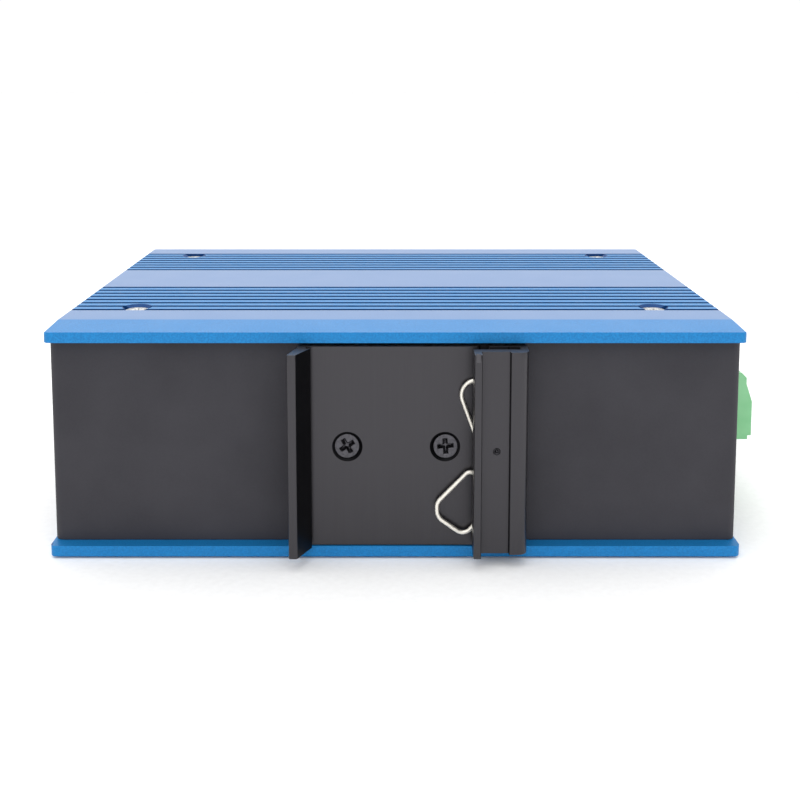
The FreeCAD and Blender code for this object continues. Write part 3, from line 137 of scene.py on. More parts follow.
# %% A finish, and the first one: white paper
def finish(name, colour, rough=None, relief=None, skin=None):
    """A material from grains of real size, each (size in metres, detail, times longer along Z).

    Colour is (grain, dark, light), rough is (grain, low, high) and relief is (grain, depth in
    metres). Skin holds the shader's values that are the same all over.
    """
    made = bpy.data.materials.new(name)
    made.use_nodes = True
    tree = made.node_tree
    tree.nodes.clear()
    place = add(tree, "TexCoord").outputs["Object"]
    height = {}
    for grain in dict.fromkeys(part[0] for part in (colour, rough, relief) if part):
        size, detail, longer = grain
        drawn = add(tree, "Mapping", {"Vector": place, "Scale": (1, 1, 1 / longer)})
        height[grain] = add(tree, "TexNoise", {"Vector": drawn.outputs["Vector"],
                                               "Scale": 1 / size, "Detail": detail}).outputs["Fac"]
    settings = dict(skin or {})
    spans = {"Base Color": (colour[0], 0, 1)}
    if rough:
        spans["Roughness"] = rough
    for socket, (grain, low, high) in spans.items():
        settings[socket] = add(tree, "MapRange", {
            "Value": height[grain], "From Min": 0.3, "From Max": 0.7,
            "To Min": low, "To Max": high}).outputs["Result"]
    ramp = add(tree, "ValToRGB", {"Fac": settings["Base Color"]})
    for stop, code in zip(ramp.color_ramp.elements, colour[1:]):
        stop.color = linear(code)
    settings["Base Color"] = ramp.outputs["Color"]
    if relief:
        settings["Normal"] = add(tree, "Bump", {"Height": height[relief[0]],
                                                "Distance": relief[1]}).outputs["Normal"]
    shader = add(tree, "BsdfPrincipled", settings)
    add(tree, "OutputMaterial", {"Surface": shader.outputs["BSDF"]})
    return made


FIBRES = (1.5 * MM, 3.0, 1)
PAPER = finish("matt white paper sweep", (FIBRES, "FAFAFA", "FFFFFF"), skin={"Roughness": 0.9})
print(PAPER.name, "has", len(PAPER.node_tree.nodes), "nodes")

# %% [markdown]
# ## Blue anodised plates
# The side plates are aluminium extrusions, bead blasted and then anodised blue. The blasting
# leaves grains of about a tenth of a millimetre that spread the light, and the oxide over the
# dye reflects white at low angles. That is why the flats look lilac and the sloping rear band
# looks pale. The grain is drawn at 0.3 mm, because finer grain would not show.
#
# A fully metallic base is the first thing to try, but it mirrors the room and loses the dye's
# colour on faces that look away from the lights. The dyed oxide hides most of the metal, so the
# base is only a quarter metallic. A clear coat and a little sheen give the pale look, more of
# both on the wide flats. Grooves and countersinks get painted shade: a darker blue with less of a
# coat.


# %% Blue anodised aluminium
BLAST = (0.3 * MM, 3.0, 1)
BLUE_CLOUD = (9 * MM, 2.0, 1)


def blasted_blue(name, dark, light, depth, coat, sheen):
    """Grain in the colour and the relief, and a slow change of roughness over it."""
    return finish(name, (BLAST, dark, light), (BLUE_CLOUD, 0.50, 0.56), (BLAST, depth), {
        "Metallic": 0.25, "Specular IOR Level": 0.2,
        "Coat Weight": coat, "Coat Roughness": 0.35, "Coat IOR": 1.5,
        "Sheen Weight": sheen, "Sheen Roughness": 0.45, "Sheen Tint": linear("F6E4EA")})


# Saturated blue whose grains sparkle on slopes.
BLUE = blasted_blue("blue anodised aluminium, bead blasted", "006CAA", "0A80C2", 0.05 * MM,
                    coat=0.36, sheen=0.02)
# Lilac at low angles, from the thicker coat and the sheen.
BLUE_FLAT = blasted_blue("blue anodised aluminium, wide flats", "0A629E", "1470AE", 0.02 * MM,
                         coat=0.8, sheen=0.22)
# Painted shade for grooves and countersinks: dark and clean, with hardly any grain.
BLUE_PAINTED_SHADE = blasted_blue("blue anodised aluminium, painted shade", "06386C", "0A4480", 0.01 * MM,
                    coat=0.2, sheen=0.0)
print("made", [made.name for made in (BLUE, BLUE_FLAT, BLUE_PAINTED_SHADE)])

# %% [markdown]
# ## Black powder coat
# The case is steel sheet with a matt black powder coat: an orange-peel skin about half a
# millimetre across that leaves a soft sheen, over slow clouds of slightly lighter black. Real
# bumps of that size would take millions of faces, so the peel is only in the shading.

# %% Powder coat
PEEL = (0.5 * MM, 2.0, 1)

# Nearly black and dull: lamps make no spot on it, only a soft grey.
POWDER = finish("black powder coat on steel sheet", ((14 * MM, 3.0, 1), "343338", "3A393E"),
                (PEEL, 0.55, 0.67), (PEEL, 0.012 * MM), {"IOR": 1.5, "Specular IOR Level": 0.2})
print("made", POWDER.name)

# %% [markdown]
# ## Black extrusion
# The rail clip is an aluminium extrusion, black anodised. Its die leaves faint draw lines along
# its length, which runs along Z: they are noise that is drawn out fifty times along Z. The
# oxide reflects more than a plastic would, so its IOR is higher. Countersinks and the inside of
# the hook get painted shade: a nearly black finish with a lower IOR, which sends hardly any
# light back. A saw leaves the ends paler.
#
# Two thin lines along the clip's cover, at the steps in its face, are painted shade: there the
# finish has hardly any sheen. Cut as grooves they would be thinner than a bevel can follow.


# %% Draw lines
DRAW_LINES = (0.4 * MM, 3.0, 50)


def drawn_black(name, ior, dark, light):
    """Draw lines in the colour, the roughness and the relief."""
    return finish(name, (DRAW_LINES, dark, light), (DRAW_LINES, 0.28, 0.36),
                  (DRAW_LINES, 0.002 * MM), {"IOR": ior, "Specular Tint": linear("FAF6FF")})


# A grey sheen in fine lines along the length.
EXTRUDED = drawn_black("black anodised aluminium, extruded", 1.62, "121214", "18181A")
# Painted shade for countersinks and the hook's inside: swallows nearly all light.
BLACK_PAINTED_SHADE = drawn_black("black anodised aluminium, painted shade", 1.15, "08080A", "0D0D0F")
# Paler, with less shine.
SAWN_BLACK = drawn_black("black anodised aluminium, sawn end", 1.4, "2E2E31", "454549")
print("made", [made.name for made in (EXTRUDED, BLACK_PAINTED_SHADE, SAWN_BLACK)])

# %% Painted shade along the cover's steps
STEP_SHADE_LINES = (17.15 * MM, 22.9 * MM)
STEP_SHADE_HALF = 0.14 * MM

# Painted shade: along two thin lines at the steps of the clip's cover the sheen drops almost to
# nothing, so they turn dark.
tree = EXTRUDED.node_tree
place = add(tree, "SeparateXYZ", {"Vector": add(tree, "TexCoord").outputs["Object"]})
inside = [add(tree, "Math", {"operation": "COMPARE", 0: place.outputs["X"], 1: shade_line, 2: STEP_SHADE_HALF})
          for shade_line in STEP_SHADE_LINES]
either = add(tree, "Math", {"operation": "MAXIMUM", 0: inside[0].outputs["Value"],
                            1: inside[1].outputs["Value"]})
shine = add(tree, "MapRange", {"Value": either.outputs["Value"], "To Min": 0.5, "To Max": 0.05})
tree.links.new(shine.outputs["Result"],
               tree.nodes["Principled BSDF"].inputs["Specular IOR Level"])
print("painted step shade at", [round(shade_line / MM, 2) for shade_line in STEP_SHADE_LINES], "mm")

# %% [markdown]
# ## Bright metals
# The plate screws are zinc plated, the spring is bright drawn wire, and the clip screws are
# blackened steel with a thin oily shine. Plating and drawing leave fine marks: blotches on the
# zinc and the tin, smaller ones on wire and gold. A metal's colour is in its reflection, so
# these are fully metallic and keep the default IOR. They differ only in colour, roughness and
# the size of the marks, so one function makes them all.


# %% Metals
def plated(name, dark, light, rough, mark=0.4 * MM):
    """Marks of plating in the colour, the roughness and the relief."""
    marks = (mark, 4.0, 1)
    return finish(name, (marks, dark, light), (marks, rough - 0.06, rough + 0.06),
                  (marks, 0.004 * MM), {"Metallic": 1.0})


# Cool grey with faint blotches and a broad, soft highlight.
ZINC = plated("zinc plated steel", "B9B9B6", "D3D2CD", 0.32)
# Warmer and shinier than zinc.
NICKEL = plated("nickel plated brass", "B8B2A4", "CFC8B9", 0.22)
# Almost white, its highlight blurred by the marks of the drawing die.
WIRE = plated("bright drawn spring wire", "EDE8DE", "FBF7EE", 0.50)
# Satin grey in larger blotches.
TINNED = plated("tinned steel sheet", "BDBCB8", "D4D3CE", 0.30, mark=1.2 * MM)
# Yellow, with a small bright highlight.
GOLD = plated("gold plated contact", "C99A3E", "E2B95C", 0.25)
# Pale and satin.
CAN = plated("drawn aluminium can", "C2C4C6", "DADBDC", 0.34, mark=0.8 * MM)
# Dark grey with an oily shine.
BLACK_SCREW = plated("blackened steel screw", "47464A", "5E5D62", 0.36)
# Darker than the screws.
DARK_RIVET = plated("blackened steel rivet", "2C2B2E", "444347", 0.30)
METALS = (ZINC, NICKEL, WIRE, TINNED, GOLD, CAN, BLACK_SCREW, DARK_RIVET)
print("made", [made.name for made in METALS])

# %% [markdown]
# ## Plastics and the board
# The terminal is moulded polyamide in pale green, the socket bodies are black moulded
# plastic and the board is green laminate under solder resist. Moulded plastic has a fine
# spark-eroded skin, a slight sheen and hardly any change of colour. The light pipes and the
# lights' resin let some light through, which costs more time to render than paint, but they
# are small and few.


# %% Plastics
def moulded(name, dark, light, rough, eroded=0.3 * MM, clear=0.0):
    """Slow clouds in the colour, and the eroded skin in the roughness and the relief."""
    skin = (eroded, 2.0, 1)
    return finish(name, ((6 * MM, 2.0, 1), dark, light), (skin, rough - 0.05, rough + 0.05),
                  (skin, 0.01 * MM), {"IOR": 1.5, "Transmission Weight": clear})


# Pale green, half matt, with soft highlights.
TERMINAL = moulded("pale green moulded polyamide", "7DC48A", "8FD09B", 0.42)
# Nearly black and matt.
BLACK_PLASTIC = moulded("black moulded plastic", "141415", "1B1B1D", 0.48)
# Dark grey, the dullest of the plastics.
CHIP = moulded("black epoxy moulding", "1B1B1C", "242425", 0.60)
# White with a clear reflection.
RELAY = moulded("white glossy moulding", "C9C8C2", "D5D4CE", 0.25)
# Milky, and lets light through.
LIGHT_PIPE = moulded("clear light pipe", "C2CBB9", "D3DACB", 0.12, clear=0.6)
# Tinted and half clear, with no light of its own.
LED = moulded("green tinted resin, unlit", "4E9A46", "64B05A", 0.15, clear=0.35)
# Deep green with a wet gloss.
BOARD = moulded("green solder resist on laminate", "0C5A33", "127040", 0.30, eroded=0.8 * MM)
PLASTICS = (TERMINAL, BLACK_PLASTIC, CHIP, RELAY, LIGHT_PIPE, LED, BOARD)
print("made", [made.name for made in PLASTICS])

# %% [markdown]
# ## Dressing the solids
# The imported model says which material slot each piece has and which body carries it. The plug
# is a body of its own, because it pulls off. Each slot gets one of the finishes, and a piece
# that is made later rides with the same body as the solid that it stands for.

# %% A finish for each slot
FINISHES = {
    "blue_anodised_aluminium": BLUE, "zinc_plated_screw": ZINC, "plated_nut": ZINC,
    "black_powder_coated_sheet": POWDER, "black_anodised_aluminium": EXTRUDED,
    "black_oxide_screw": BLACK_SCREW, "bright_spring_wire": WIRE, "green_laminate": BOARD,
    "tinned_shield": TINNED, "black_moulding": BLACK_PLASTIC, "gold_plated_contact": GOLD,
    "clear_light_window": LIGHT_PIPE, "green_led_resin": LED, "green_terminal_moulding": TERMINAL,
    "tinned_pin": TINNED, "chip_moulding": CHIP, "relay_moulding": RELAY, "aluminium_can": CAN,
    "nickel_plated_screw": NICKEL}
SLOT_OF = {part["node"]: part["material_slot"] for part in frame["record"]["subparts"]}
BODY_OF = {node: body for body, nodes in frame["record"]["behaviour"]["bodies"].items()
           for node in nodes}
for node, item in frame["nodes"].items():
    item.data.materials.clear()
    item.data.materials.append(FINISHES[SLOT_OF[node]])
print("dressed", len(frame["nodes"]), "nodes")


# %% Let a new piece take a node's place
def take_over(piece, node):
    """Let a piece ride with a node's body and show instead of it."""
    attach(piece, BODY_OF[node])
    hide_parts(node)


def box_of(node):
    """A node's lowest and highest corner, in metres."""
    return (np.array(corner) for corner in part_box(node))


# %% [markdown]
# ## Edges that catch the light
# No real edge is sharp: sheet has a burr-free corner, an extrusion has a small radius, and
# blasting rounds both. The solids come as loose triangles, so a copy is merged and its triangles
# are joined to whole faces again. A narrow bevel then runs along the edges, and weighted normals
# keep the flats between them flat. The bevel is a modifier and not cut into the mesh, so that
# its width stays one number.


# %% Whole faces again
def whole_faces(node):
    """A node's mesh with corners within 0.002 mm joined and flat neighbours made one face."""
    work = bmesh.new()
    work.from_mesh(frame["nodes"][node].data)
    bmesh.ops.remove_doubles(work, verts=work.verts, dist=0.002 * MM)
    bmesh.ops.dissolve_limit(work, angle_limit=math.radians(0.5), verts=work.verts,
                             edges=work.edges, use_dissolve_boundaries=False)
    return work


sample = whole_faces("front_panel")
print("front panel:", len(frame["nodes"]["front_panel"].data.polygons), "triangles become",
      len(sample.faces), "faces")
sample.free()

# %% Rounded copies of the solids
SHARP = math.radians(25)


def rounded(node, width, finishes=(), choose=None, shape=None):
    """Copy of a node with its sharp edges rounded to the given width in metres.

    Shape may work on the mesh first. Choose gives each face 0 for the node's own finish, or the
    number of one of the further finishes.
    """
    work = whole_faces(node)
    if shape:
        shape(work)
    for face in work.faces:
        face.smooth = True
        face.material_index = choose(face) if choose else 0
    mesh = frame["nodes"][node].data.copy()
    mesh.name = f"{node}_rounded"
    mesh.materials.clear()
    for made in (FINISHES[SLOT_OF[node]], *finishes):
        mesh.materials.append(made)
    work.to_mesh(mesh)
    work.free()
    piece = bpy.data.objects.new(f"{node}_rounded", mesh)
    bpy.context.collection.objects.link(piece)
    bevel = piece.modifiers.new("edge rounding", "BEVEL")
    bevel.width = width
    bevel.segments = 2
    bevel.limit_method = "ANGLE"
    bevel.angle_limit = SHARP
    level = piece.modifiers.new("flat faces stay flat", "WEIGHTED_NORMAL")
    level.weight = 100
    level.keep_sharp = True
    take_over(piece, node)
    counts = np.bincount([face.material_index for face in mesh.polygons]).tolist()
    print(piece.name, len(mesh.polygons), "faces before rounding, by finish", counts)


print("edges of over", round(math.degrees(SHARP)), "degrees will be rounded")

# %% [markdown]
# ## Telling faces apart
# One extrusion shows several finishes, so each face is asked where it lies and which way it
# looks. A countersink's faces lie close to a screw's axis. A groove's faces are long and
# narrow. A wide flat is level and over 3 mm deep. Faces could be picked by hand instead, but
# such a choice is lost when the model changes, and a rule is not.

# %% Where the screws sit
# Radii of the solids' screw heads, and out to where their countersinks' faces lie.
PLATE_HEAD, CLIP_HEAD = 2.6 * MM, 2.7 * MM
PLATE_SINK, CLIP_SINK = 3.6 * MM, 3.2 * MM
plate_low, plate_high = box_of("upper_plate_screws")
clip_low, clip_high = box_of("clip_screws")
PLATE_SEATS = [(x, y) for y in (plate_low[1] + PLATE_HEAD, plate_high[1] - PLATE_HEAD)
               for x in (plate_low[0] + PLATE_HEAD, plate_high[0] - PLATE_HEAD)]
CLIP_MIDDLE = (clip_low[2] + clip_high[2]) / 2
CLIP_SEATS = [(x, CLIP_MIDDLE) for x in (clip_low[0] + CLIP_HEAD, clip_high[0] - CLIP_HEAD)]
print("plate screws at", np.round(np.array(PLATE_SEATS) / MM, 1).tolist(), "mm")


# %% Questions to a face
# Cosine of the lean up to which a face counts as level, and half the height over both plates.
LEVEL = 0.9995
PLATES_MIDDLE = CAD_BOX[1][2] / 2


def in_seat(face, seats, reach, axis):
    """Whether a face belongs to a countersink: close to a screw's axis and not square to it."""
    middle = face.calc_center_median()
    flat = [i for i in range(3) if i != axis]
    off = min(math.hypot(*(middle[i] - seat[k] for k, i in enumerate(flat))) for seat in seats)
    return off < reach and abs(face.normal[axis]) < 0.95


def extent(face, axis):
    """How far a face reaches along an axis."""
    values = [corner.co[axis] for corner in face.verts]
    return max(values) - min(values)


def is_wide_flat(face):
    """Whether a face is one of a plate's outer flats: level, and over 3 mm deep along Y."""
    outwards = 1 if face.calc_center_median().z > PLATES_MIDDLE else -1
    return face.normal.z * outwards > LEVEL and extent(face, 1) > 3 * MM


def in_groove(face):
    """Whether a face is a groove's wall, under 1.2 mm high, or its floor, under 1.45 mm wide."""
    wall = abs(face.normal.y) > 0.9 and extent(face, 2) < 1.2 * MM
    return wall or (abs(face.normal.z) > LEVEL and extent(face, 1) < 1.45 * MM)


print("a level face leans by less than", round(math.degrees(math.acos(LEVEL)), 1), "degrees")

# %% [markdown]
# ## Side plates
# A plate is sawn from a long extrusion and its ends are eased with a file, so that they don't
# cut the hand: the outer side falls at 45 degrees over the last 0.35 mm. A wider bevel on those
# edges alone would be held back by the grooves' narrow corners, so the mesh is cut across
# instead and the corners of its ends are moved.


# %% Side plates
# Length of the easing, and how far from the middle height the corners lie that it moves.
EASED = 0.35 * MM
OUTER_SIDE = PLATES_MIDDLE - 0.6 * MM


def eased_ends(work):
    """Cut the mesh across close to its ends, and move a corner d beyond the cut inwards by d."""
    start = max(v.co.x for v in work.verts) - EASED
    for side in (-1, 1):
        bmesh.ops.bisect_plane(work, geom=work.verts[:] + work.edges[:] + work.faces[:],
                               plane_co=(side * start, 0, 0), plane_no=(1, 0, 0), dist=1e-7)
    for v in work.verts:
        beyond = abs(v.co.x) - start
        if beyond > 0 and abs(v.co.z - PLATES_MIDDLE) > OUTER_SIDE:
            v.co.z -= math.copysign(beyond, v.co.z - PLATES_MIDDLE)


def plate_finish(face):
    """1, painted shade, inside a countersink or a groove; 2 for a wide flat; 0 for the rest."""
    if in_seat(face, PLATE_SEATS, PLATE_SINK, 2) or in_groove(face):
        return 1
    return 2 * is_wide_flat(face)


for node in ("upper_side_plate", "lower_side_plate"):
    rounded(node, 0.12 * MM, (BLUE_PAINTED_SHADE, BLUE_FLAT), plate_finish, eased_ends)

# %% [markdown]
# ## Rail clip
# The clip's hook and ridge run its whole length. The ridge's upper end is worn by the rails that
# it was pushed onto: there its outer face slopes inwards. Sculpting would make the slope too,
# but a cut across the mesh below the end and a move of the end's outer corners keep it exact.


# %% Rail clip
WORN_HIGH, WORN_DEEP = 1.5 * MM, 0.9 * MM
RIDGE_SPAN = (15.4 * MM, 17.3 * MM)
HOOK_END = -10 * MM


def worn_ridge_end(work):
    """The ridge's outer face slopes in, from 1.5 mm below the top to 0.9 mm deeper at the top.

    The cut itself moves 0.02 mm, so that its rounding stays inside the extrusion.
    """
    top = max(v.co.z for v in work.verts)
    bmesh.ops.bisect_plane(work, geom=work.verts[:] + work.edges[:] + work.faces[:],
                           plane_co=(0, 0, top - WORN_HIGH), plane_no=(0, 0, 1), dist=1e-7)
    ridge = [v for v in work.verts if RIDGE_SPAN[0] < v.co.x < RIDGE_SPAN[1]]
    outer = min(v.co.y for v in ridge)
    for v in ridge:
        if v.co.z > top - WORN_HIGH - 0.01 * MM and v.co.y < outer + 0.01 * MM:
            v.co.y += WORN_DEEP if v.co.z > top - 0.01 * MM else 0.02 * MM


def clip_finish(face):
    """1, painted shade, inside a countersink or the hook; 2 for a sawn end; 0 for the drawn sides.
    """
    hook = face.normal.x > 0.9 and face.calc_center_median().x < HOOK_END
    if hook or in_seat(face, CLIP_SEATS, CLIP_SINK, 1):
        return 1
    return 2 * (abs(face.normal.z) > 0.5)


rounded("din_clip", 0.10 * MM, (BLACK_PAINTED_SHADE, SAWN_BLACK), clip_finish, worn_ridge_end)

# %% [markdown]
# ## Case and plug
# Folded sheet and a moulded plug have one finish each, and need only their edges rounded.

# %% Case and plug
for node in ("case_shell", "front_panel", "terminal_plug"):
    rounded(node, 0.15 * MM)

# %% [markdown]
# ## Spring wire
# One length of spring wire, 0.88 mm thick, is bent round a pin inside the clip, with a loop above
# and one below that lean out of the channel and hold the rail. A tube is a circle carried along a
# path. The path is straight runs joined by arcs that touch both, as a bending tool makes them. A
# curve with a round bevel would look alike, but its handles only come close to true arcs.


# %% Path of straight runs and arcs
def bent_path(corners, bends, steps):
    """Straight runs joined by tangent arcs, one radius for each corner.

    At a corner with unit vectors b back and a ahead and a turn of s, the arc of radius r starts
    at corner + b * r * tan(s / 2) and its centre lies at corner + (b + a) / |b + a| * r /
    cos(s / 2). The points of the arc are the first spoke turned towards the last in equal steps.
    """
    runs = [corners[:1]]
    for before, corner, after, bend in zip(corners, corners[1:], corners[2:], bends):
        back = (before - corner) / np.linalg.norm(before - corner)
        ahead = (after - corner) / np.linalg.norm(after - corner)
        swing = math.pi - math.acos(float(np.clip(back @ ahead, -1, 1)))
        middle = (back + ahead) / np.linalg.norm(back + ahead)
        hub = corner + middle * bend / math.cos(swing / 2)
        first = corner + back * bend * math.tan(swing / 2) - hub
        last = corner + ahead * bend * math.tan(swing / 2) - hub
        share = np.linspace(0, 1, steps)[:, None]
        arc = np.sin((1 - share) * swing) * first + np.sin(share * swing) * last
        runs.append(hub + arc / math.sin(swing))
    return np.vstack(runs + [corners[-1:]])


# Bends of the wire in millimetres: in from the ridge's face, up from the clip's middle, radius.
RIDGE_FACE = 15.6 * MM
BENDS = [(7.1, 14.15, 0), (-3.5, 14.15, 3.0), (0.9, 2.2, 1.3), (6.2, 1.7, 1.3), (6.2, -6.5, 1.3),
         (-0.75, -4.85, 1.3), (-7.15, -11.4, 2.4), (-7.0, -14.45, 2.8), (-1.5, -18.35, 2.0),
         (5.0, -10.9, 0)]
wire_low, wire_high = box_of("clip_spring")
middle = np.array([RIDGE_FACE, (wire_low[1] + wire_high[1]) / 2, CLIP_MIDDLE])
corners = middle + np.array([(x, 0, z) for x, z, _ in BENDS]) * MM
wire_path = bent_path(corners, [bend * MM for _, _, bend in BENDS[1:-1]], 12)
print("wire", round(float(np.linalg.norm(np.diff(wire_path, axis=0), axis=1).sum()) / MM, 1),
      "mm long")


# %% Rings along a path
def tube(path, radius, sides, flat_normal, cap=4):
    """A circle of the given radius carried along a flat path, with round ends.

    Ring i lies at path[i] and is spanned by the path's normal n and by n x t, where t is the
    direction of the path there. The ends are quarter circles: ring k of an end is pushed out by
    radius * sin(a) and has radius * cos(a), with a from 0 to 90 degrees.
    """
    ahead = np.gradient(path, axis=0)
    ahead /= np.linalg.norm(ahead, axis=1)[:, None]
    angle = np.linspace(0, math.pi / 2, cap + 1)[1:]
    push = radius * np.sin(angle)[:, None]
    middles = np.vstack([path[0] - (push * ahead[0])[::-1], path, path[-1] + push * ahead[-1]])
    ways = np.vstack([np.repeat(ahead[:1], cap, 0), ahead, np.repeat(ahead[-1:], cap, 0)])
    shrink = np.maximum(np.cos(angle), 1e-3)
    radii = radius * np.concatenate([shrink[::-1], np.ones(len(path)), shrink])
    side = np.cross(np.broadcast_to(flat_normal, ways.shape), ways)
    turn = np.linspace(0, 2 * math.pi, sides, endpoint=False)
    return middles[:, None] + radii[:, None, None] * (
        np.cos(turn)[None, :, None] * np.asarray(flat_normal)
        + np.sin(turn)[None, :, None] * side[:, None])


def ring_faces(rows, columns, first=0, closed=True):
    """Quads between neighbouring rings of a grid, and one face over each open end."""
    index = first + np.arange(rows * columns).reshape(rows, columns)
    across = np.roll(index, -1, axis=1)
    quads = np.stack([index[:-1], across[:-1], across[1:], index[1:]], axis=-1)
    faces = quads.reshape(-1, 4).tolist()
    return faces + ([index[0][::-1].tolist(), index[-1].tolist()] if closed else [])


WIRE_RADIUS = 0.44 * MM
wire_rings = tube(wire_path, WIRE_RADIUS, 20, (0, 1, 0))
print("rings and points in each:", wire_rings.shape[:2])


# %% Spring wire
def solid(name, points, faces, look):
    """A smooth-shaded mesh object whose faces point outwards."""
    mesh = bpy.data.meshes.new(name)
    mesh.from_pydata(np.asarray(points).reshape(-1, 3).tolist(), [], faces)
    mesh.materials.append(look)
    work = bmesh.new()
    work.from_mesh(mesh)
    bmesh.ops.recalc_face_normals(work, faces=work.faces)
    for face in work.faces:
        face.smooth = True
    work.to_mesh(mesh)
    work.free()
    piece = bpy.data.objects.new(name, mesh)
    bpy.context.collection.objects.link(piece)
    return piece


spring = solid("spring_wire", wire_rings, ring_faces(*wire_rings.shape[:2]), WIRE)
take_over(spring, "clip_spring")
print(spring.name, len(spring.data.polygons), "faces")

# %% [markdown]
# ## Spring pin
# The pin that keeps the spring is riveted over: its end is a small dome inside a sunk ring.
# It is turned about its axis, as on a lathe: each point (r, h) of the profile is a ring of
# radius r that lies h out of the clip's face. Rings of points need no modifier.

# %% Riveted pin
pin_low, pin_high = box_of("spring_pin")
hub = (pin_low + pin_high) / 2
PIN = (pin_high - pin_low)[0] / 2
PIN_LONG = (pin_high - pin_low)[1]
PROFILE = np.array([(0.02, -0.08), (0.16, -0.10), (0.26, -0.18), (0.32, -0.34), (0.46, -0.42),
                    (0.60, -0.36), (PIN / MM - 0.03, -0.14), (PIN / MM, -0.2),
                    (PIN / MM, -PIN_LONG / MM)]) * MM
turn = np.linspace(0, 2 * math.pi, 32, endpoint=False)
pin_rings = np.stack([hub[0] + PROFILE[:, :1] * np.cos(turn),
                      np.broadcast_to(pin_low[1] - PROFILE[:, 1:], (len(PROFILE), len(turn))),
                      hub[2] + PROFILE[:, :1] * np.sin(turn)], axis=-1)
pin = solid("riveted_pin", pin_rings, ring_faces(*pin_rings.shape[:2]), DARK_RIVET)
take_over(pin, "spring_pin")
print("pin radius", round(PIN / MM, 2), "mm, length", round(PIN_LONG / MM, 2), "mm")

# %% [markdown]
# ## Screw heads
# The heads are countersunk with a cross recess. The recess is pressed by a punch whose four
# wings taper to a point, so its floor falls from the end of each wing to the middle. The head's
# face is a disc of points: a square grid (u, v) is drawn onto it by x = u * sqrt(1 - v^2 / 2)
# and y = v * sqrt(1 - u^2 / 2), and the recess is a depth at each point. A Boolean cut would
# leave thin, uneven triangles round the recess, and they catch the light.


# %% Depth of a pressed recess
WALL, FLOOR, CONE = 3.2, 1.9, 3


def recess(x, y, wing, width, depth):
    """Depth at (x, y) of a cross recess with wings of the given length and half width.

    A wing along x has min((width - |y|) * WALL, (wing - |x|) * FLOOR, depth), a wing along y the
    same with x and y exchanged, and a middle cone (1.5 * width - r) * CONE joins them. The
    largest of them counts, and nothing below 0.
    """
    most = np.full_like(x, depth)
    along_x = np.minimum.reduce([(width - abs(y)) * WALL, (wing - abs(x)) * FLOOR, most])
    along_y = np.minimum.reduce([(width - abs(x)) * WALL, (wing - abs(y)) * FLOOR, most])
    middle = np.minimum((1.5 * width - np.hypot(x, y)) * CONE, depth)
    return np.maximum.reduce([along_x, along_y, middle, np.zeros_like(x)])


print("a recess wall leans", round(math.degrees(math.atan(1 / WALL))), "degrees from upright")


# %% A screw with a pressed recess
def pressed_head(radius, shank, length, wing, width, depth, cells=44):
    """Points and faces of a screw on +Z whose face is at Z = 0.

    The face is the disc of points less the recess, and its rim falls by a quarter circle. Below
    it are three rings: under the head's edge, at the top of the shank, and at its end.
    """
    side = np.linspace(-1, 1, cells)
    u, v = np.meshgrid(side, side, indexing="ij")
    x = radius * u * np.sqrt(1 - v * v / 2)
    y = radius * v * np.sqrt(1 - u * u / 2)
    edge = 0.06 * radius
    fall = np.clip((np.hypot(x, y) - (radius - edge)) / edge, 0, 1)
    z = -recess(x, y, wing, width, depth) - edge * 0.7 * (1 - np.sqrt(1 - fall * fall * 0.96))
    top = np.stack([x, y, z], axis=-1).reshape(-1, 3)
    index = np.arange(cells * cells).reshape(cells, cells)
    faces = np.stack([index[:-1, :-1], index[1:, :-1], index[1:, 1:], index[:-1, 1:]],
                     axis=-1).reshape(-1, 4).tolist()
    loop = np.concatenate([index[0, :-1], index[:-1, -1], index[-1, :0:-1], index[:0:-1, 0]])
    angle = np.arctan2(top[loop, 1], top[loop, 0])
    below = [np.stack([r * np.cos(angle), r * np.sin(angle), np.full_like(angle, z)], axis=-1)
             for r, z in ((radius, -0.05 * radius - edge * 0.7), (shank, shank - radius - edge),
                          (shank, -length))]
    first, count = cells * cells, len(loop)
    ring = first + np.arange(count)
    faces += np.stack([loop, np.roll(loop, -1), np.roll(ring, -1), ring], axis=-1).tolist()
    faces += ring_faces(3, count, first, closed=False)
    faces.append((first + 2 * count + np.arange(count)).tolist())
    return np.vstack([top] + below), faces


clip_screw = pressed_head(radius=2.52 * MM, shank=1.75 * MM, length=6.9 * MM,
                          wing=1.70 * MM, width=0.50 * MM, depth=1.2 * MM)
plate_screw = pressed_head(radius=2.5 * MM, shank=1.45 * MM, length=5.9 * MM,
                           wing=1.6 * MM, width=0.44 * MM, depth=1.1 * MM)
print("a screw has", len(clip_screw[0]), "points and", len(clip_screw[1]), "faces")

# %% [markdown]
# ## Driving the screws
# One screw is copied into every hole and turned about its own axis, because no two screws stop
# at the same angle. Linked copies would be lighter, but each set has to be one piece like the
# solid that it replaces. The clip's screws also have a little play in their holes. Their heads
# lie 0.34 mm below the face of the clip's base plate, which is where the spring pin ends.


# %% Screws in their holes
def screws(name, node, shape, places, axis, look):
    """Copies of a screw at the given middles, its head looking along axis, turned about it."""
    points, faces = shape
    ahead = np.array(axis, float)
    across = np.array((1.0, 0, 0))
    up = np.cross(ahead, across)
    copies, joined = [], []
    for number, (place, degrees) in enumerate(places):
        turn = math.radians(degrees)
        right = across * math.cos(turn) + up * math.sin(turn)
        rise = np.cross(ahead, right)
        copies.append(np.array(place) + points @ np.stack([right, rise, ahead]))
        joined += [[corner + number * len(points) for corner in face] for face in faces]
    piece = solid(name, np.vstack(copies), joined, look)
    take_over(piece, node)
    print(piece.name, len(places), "screws,", len(piece.data.polygons), "faces")


HEAD_LEVEL = pin_high[1] + 0.34 * MM
# Play across and up in millimetres, and the turn in degrees, of each screw.
CLIP_PLAY = [(-0.083, 0, 32), (0.134, -0.05, 4)]
screws("clip_screw_set", "clip_screws", clip_screw,
       [((x + off * MM, HEAD_LEVEL, z + rise * MM), turned)
        for (x, z), (off, rise, turned) in zip(CLIP_SEATS, CLIP_PLAY)], (0, -1, 0), BLACK_SCREW)

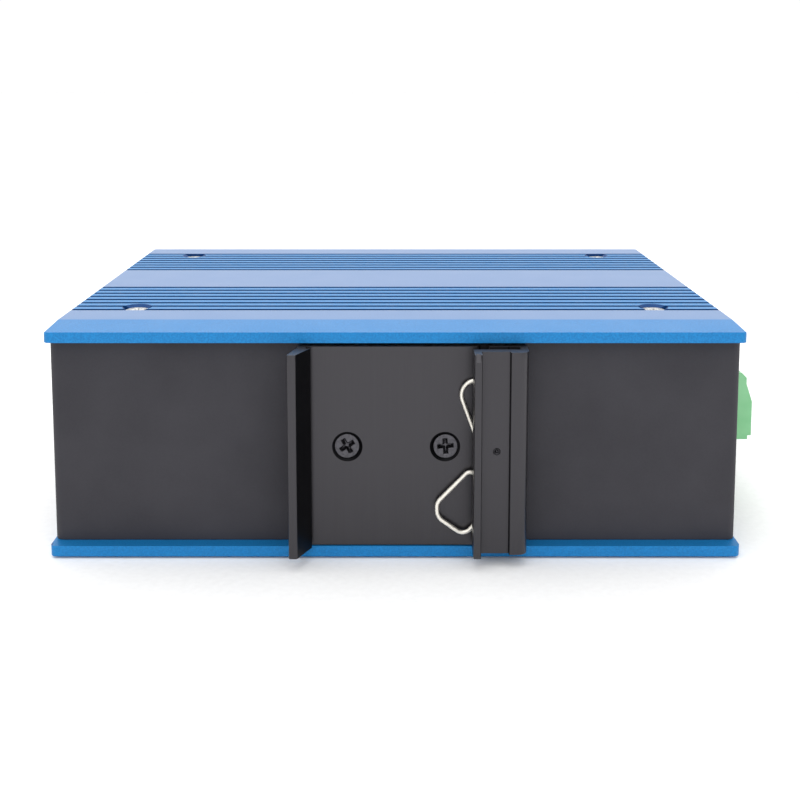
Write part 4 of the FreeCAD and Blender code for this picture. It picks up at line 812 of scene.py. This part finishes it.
# %% Screws of the plates
PLATE_TURNS = (20, 50, -15, 70)
for name, node, end, way in (("upper_screw_set", "upper_plate_screws", 1, 1),
                             ("lower_screw_set", "lower_plate_screws", 0, -1)):
    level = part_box(node)[end][2]
    screws(name, node, plate_screw,
           [((x, y, level), turned) for (x, y), turned in zip(PLATE_SEATS, PLATE_TURNS)],
           (0, 0, way), ZINC)

# %% [markdown]
# ## Table and light
# The switch stands on a white sweep in a white room. One large soft source is above and behind,
# one is overhead, and the strongest is high on the camera's side and lights the rear wall and
# the plates' edges. The plates' flats mirror the bright room behind, and the black sheet mirrors
# the white in front of it as a soft grey. A picture of a studio could light the switch too, but
# then nothing in the light could be moved or made softer by itself.

# %% White sweep
REACH = 6.0
floor_mesh = bpy.data.meshes.new("floor")
floor_mesh.from_pydata(
    [(-REACH, -REACH, 0), (REACH, -REACH, 0), (REACH, REACH, 0), (-REACH, REACH, 0)], [],
    [(0, 1, 2, 3)])
floor_mesh.materials.append(PAPER)
floor = bpy.data.objects.new("floor", floor_mesh)
bpy.context.collection.objects.link(floor)
print("sweep", 2 * REACH, "m across")


# %% Soft boxes
def softbox(name, place, aim, size, watts):
    """A rectangular white area light at place that faces aim."""
    lamp = bpy.data.lights.new(name, "AREA")
    lamp.shape = "RECTANGLE"
    lamp.size, lamp.size_y = size
    lamp.energy = watts
    box = bpy.data.objects.new(name, lamp)
    bpy.context.collection.objects.link(box)
    box.location = place
    box.rotation_euler = (Vector(aim) - Vector(place)).to_track_quat("-Z", "Y").to_euler()
    print(name, watts, "W")


softbox("light_above_behind", (0.0, 0.65, 0.62), (0, 0, 0.03), (1.2, 0.5), 2.3)
softbox("light_above", (-0.1, -0.1, 0.9), (0, 0, 0.02), (0.7, 0.7), 1.8)
softbox("light_front", (0.0, -1.1, 1.0), (0, 0, 0.02), (1.4, 0.9), 4.6)

# %% White room
ROOM_LIGHT = 1.03
world = bpy.data.worlds.new("white room")
world.use_nodes = True
background = world.node_tree.nodes["Background"]
background.inputs["Color"].default_value = (1, 1, 1, 1)
background.inputs["Strength"].default_value = ROOM_LIGHT
bpy.context.scene.world = world
bpy.context.scene.view_settings.view_transform = "Standard"
print("room at", ROOM_LIGHT)
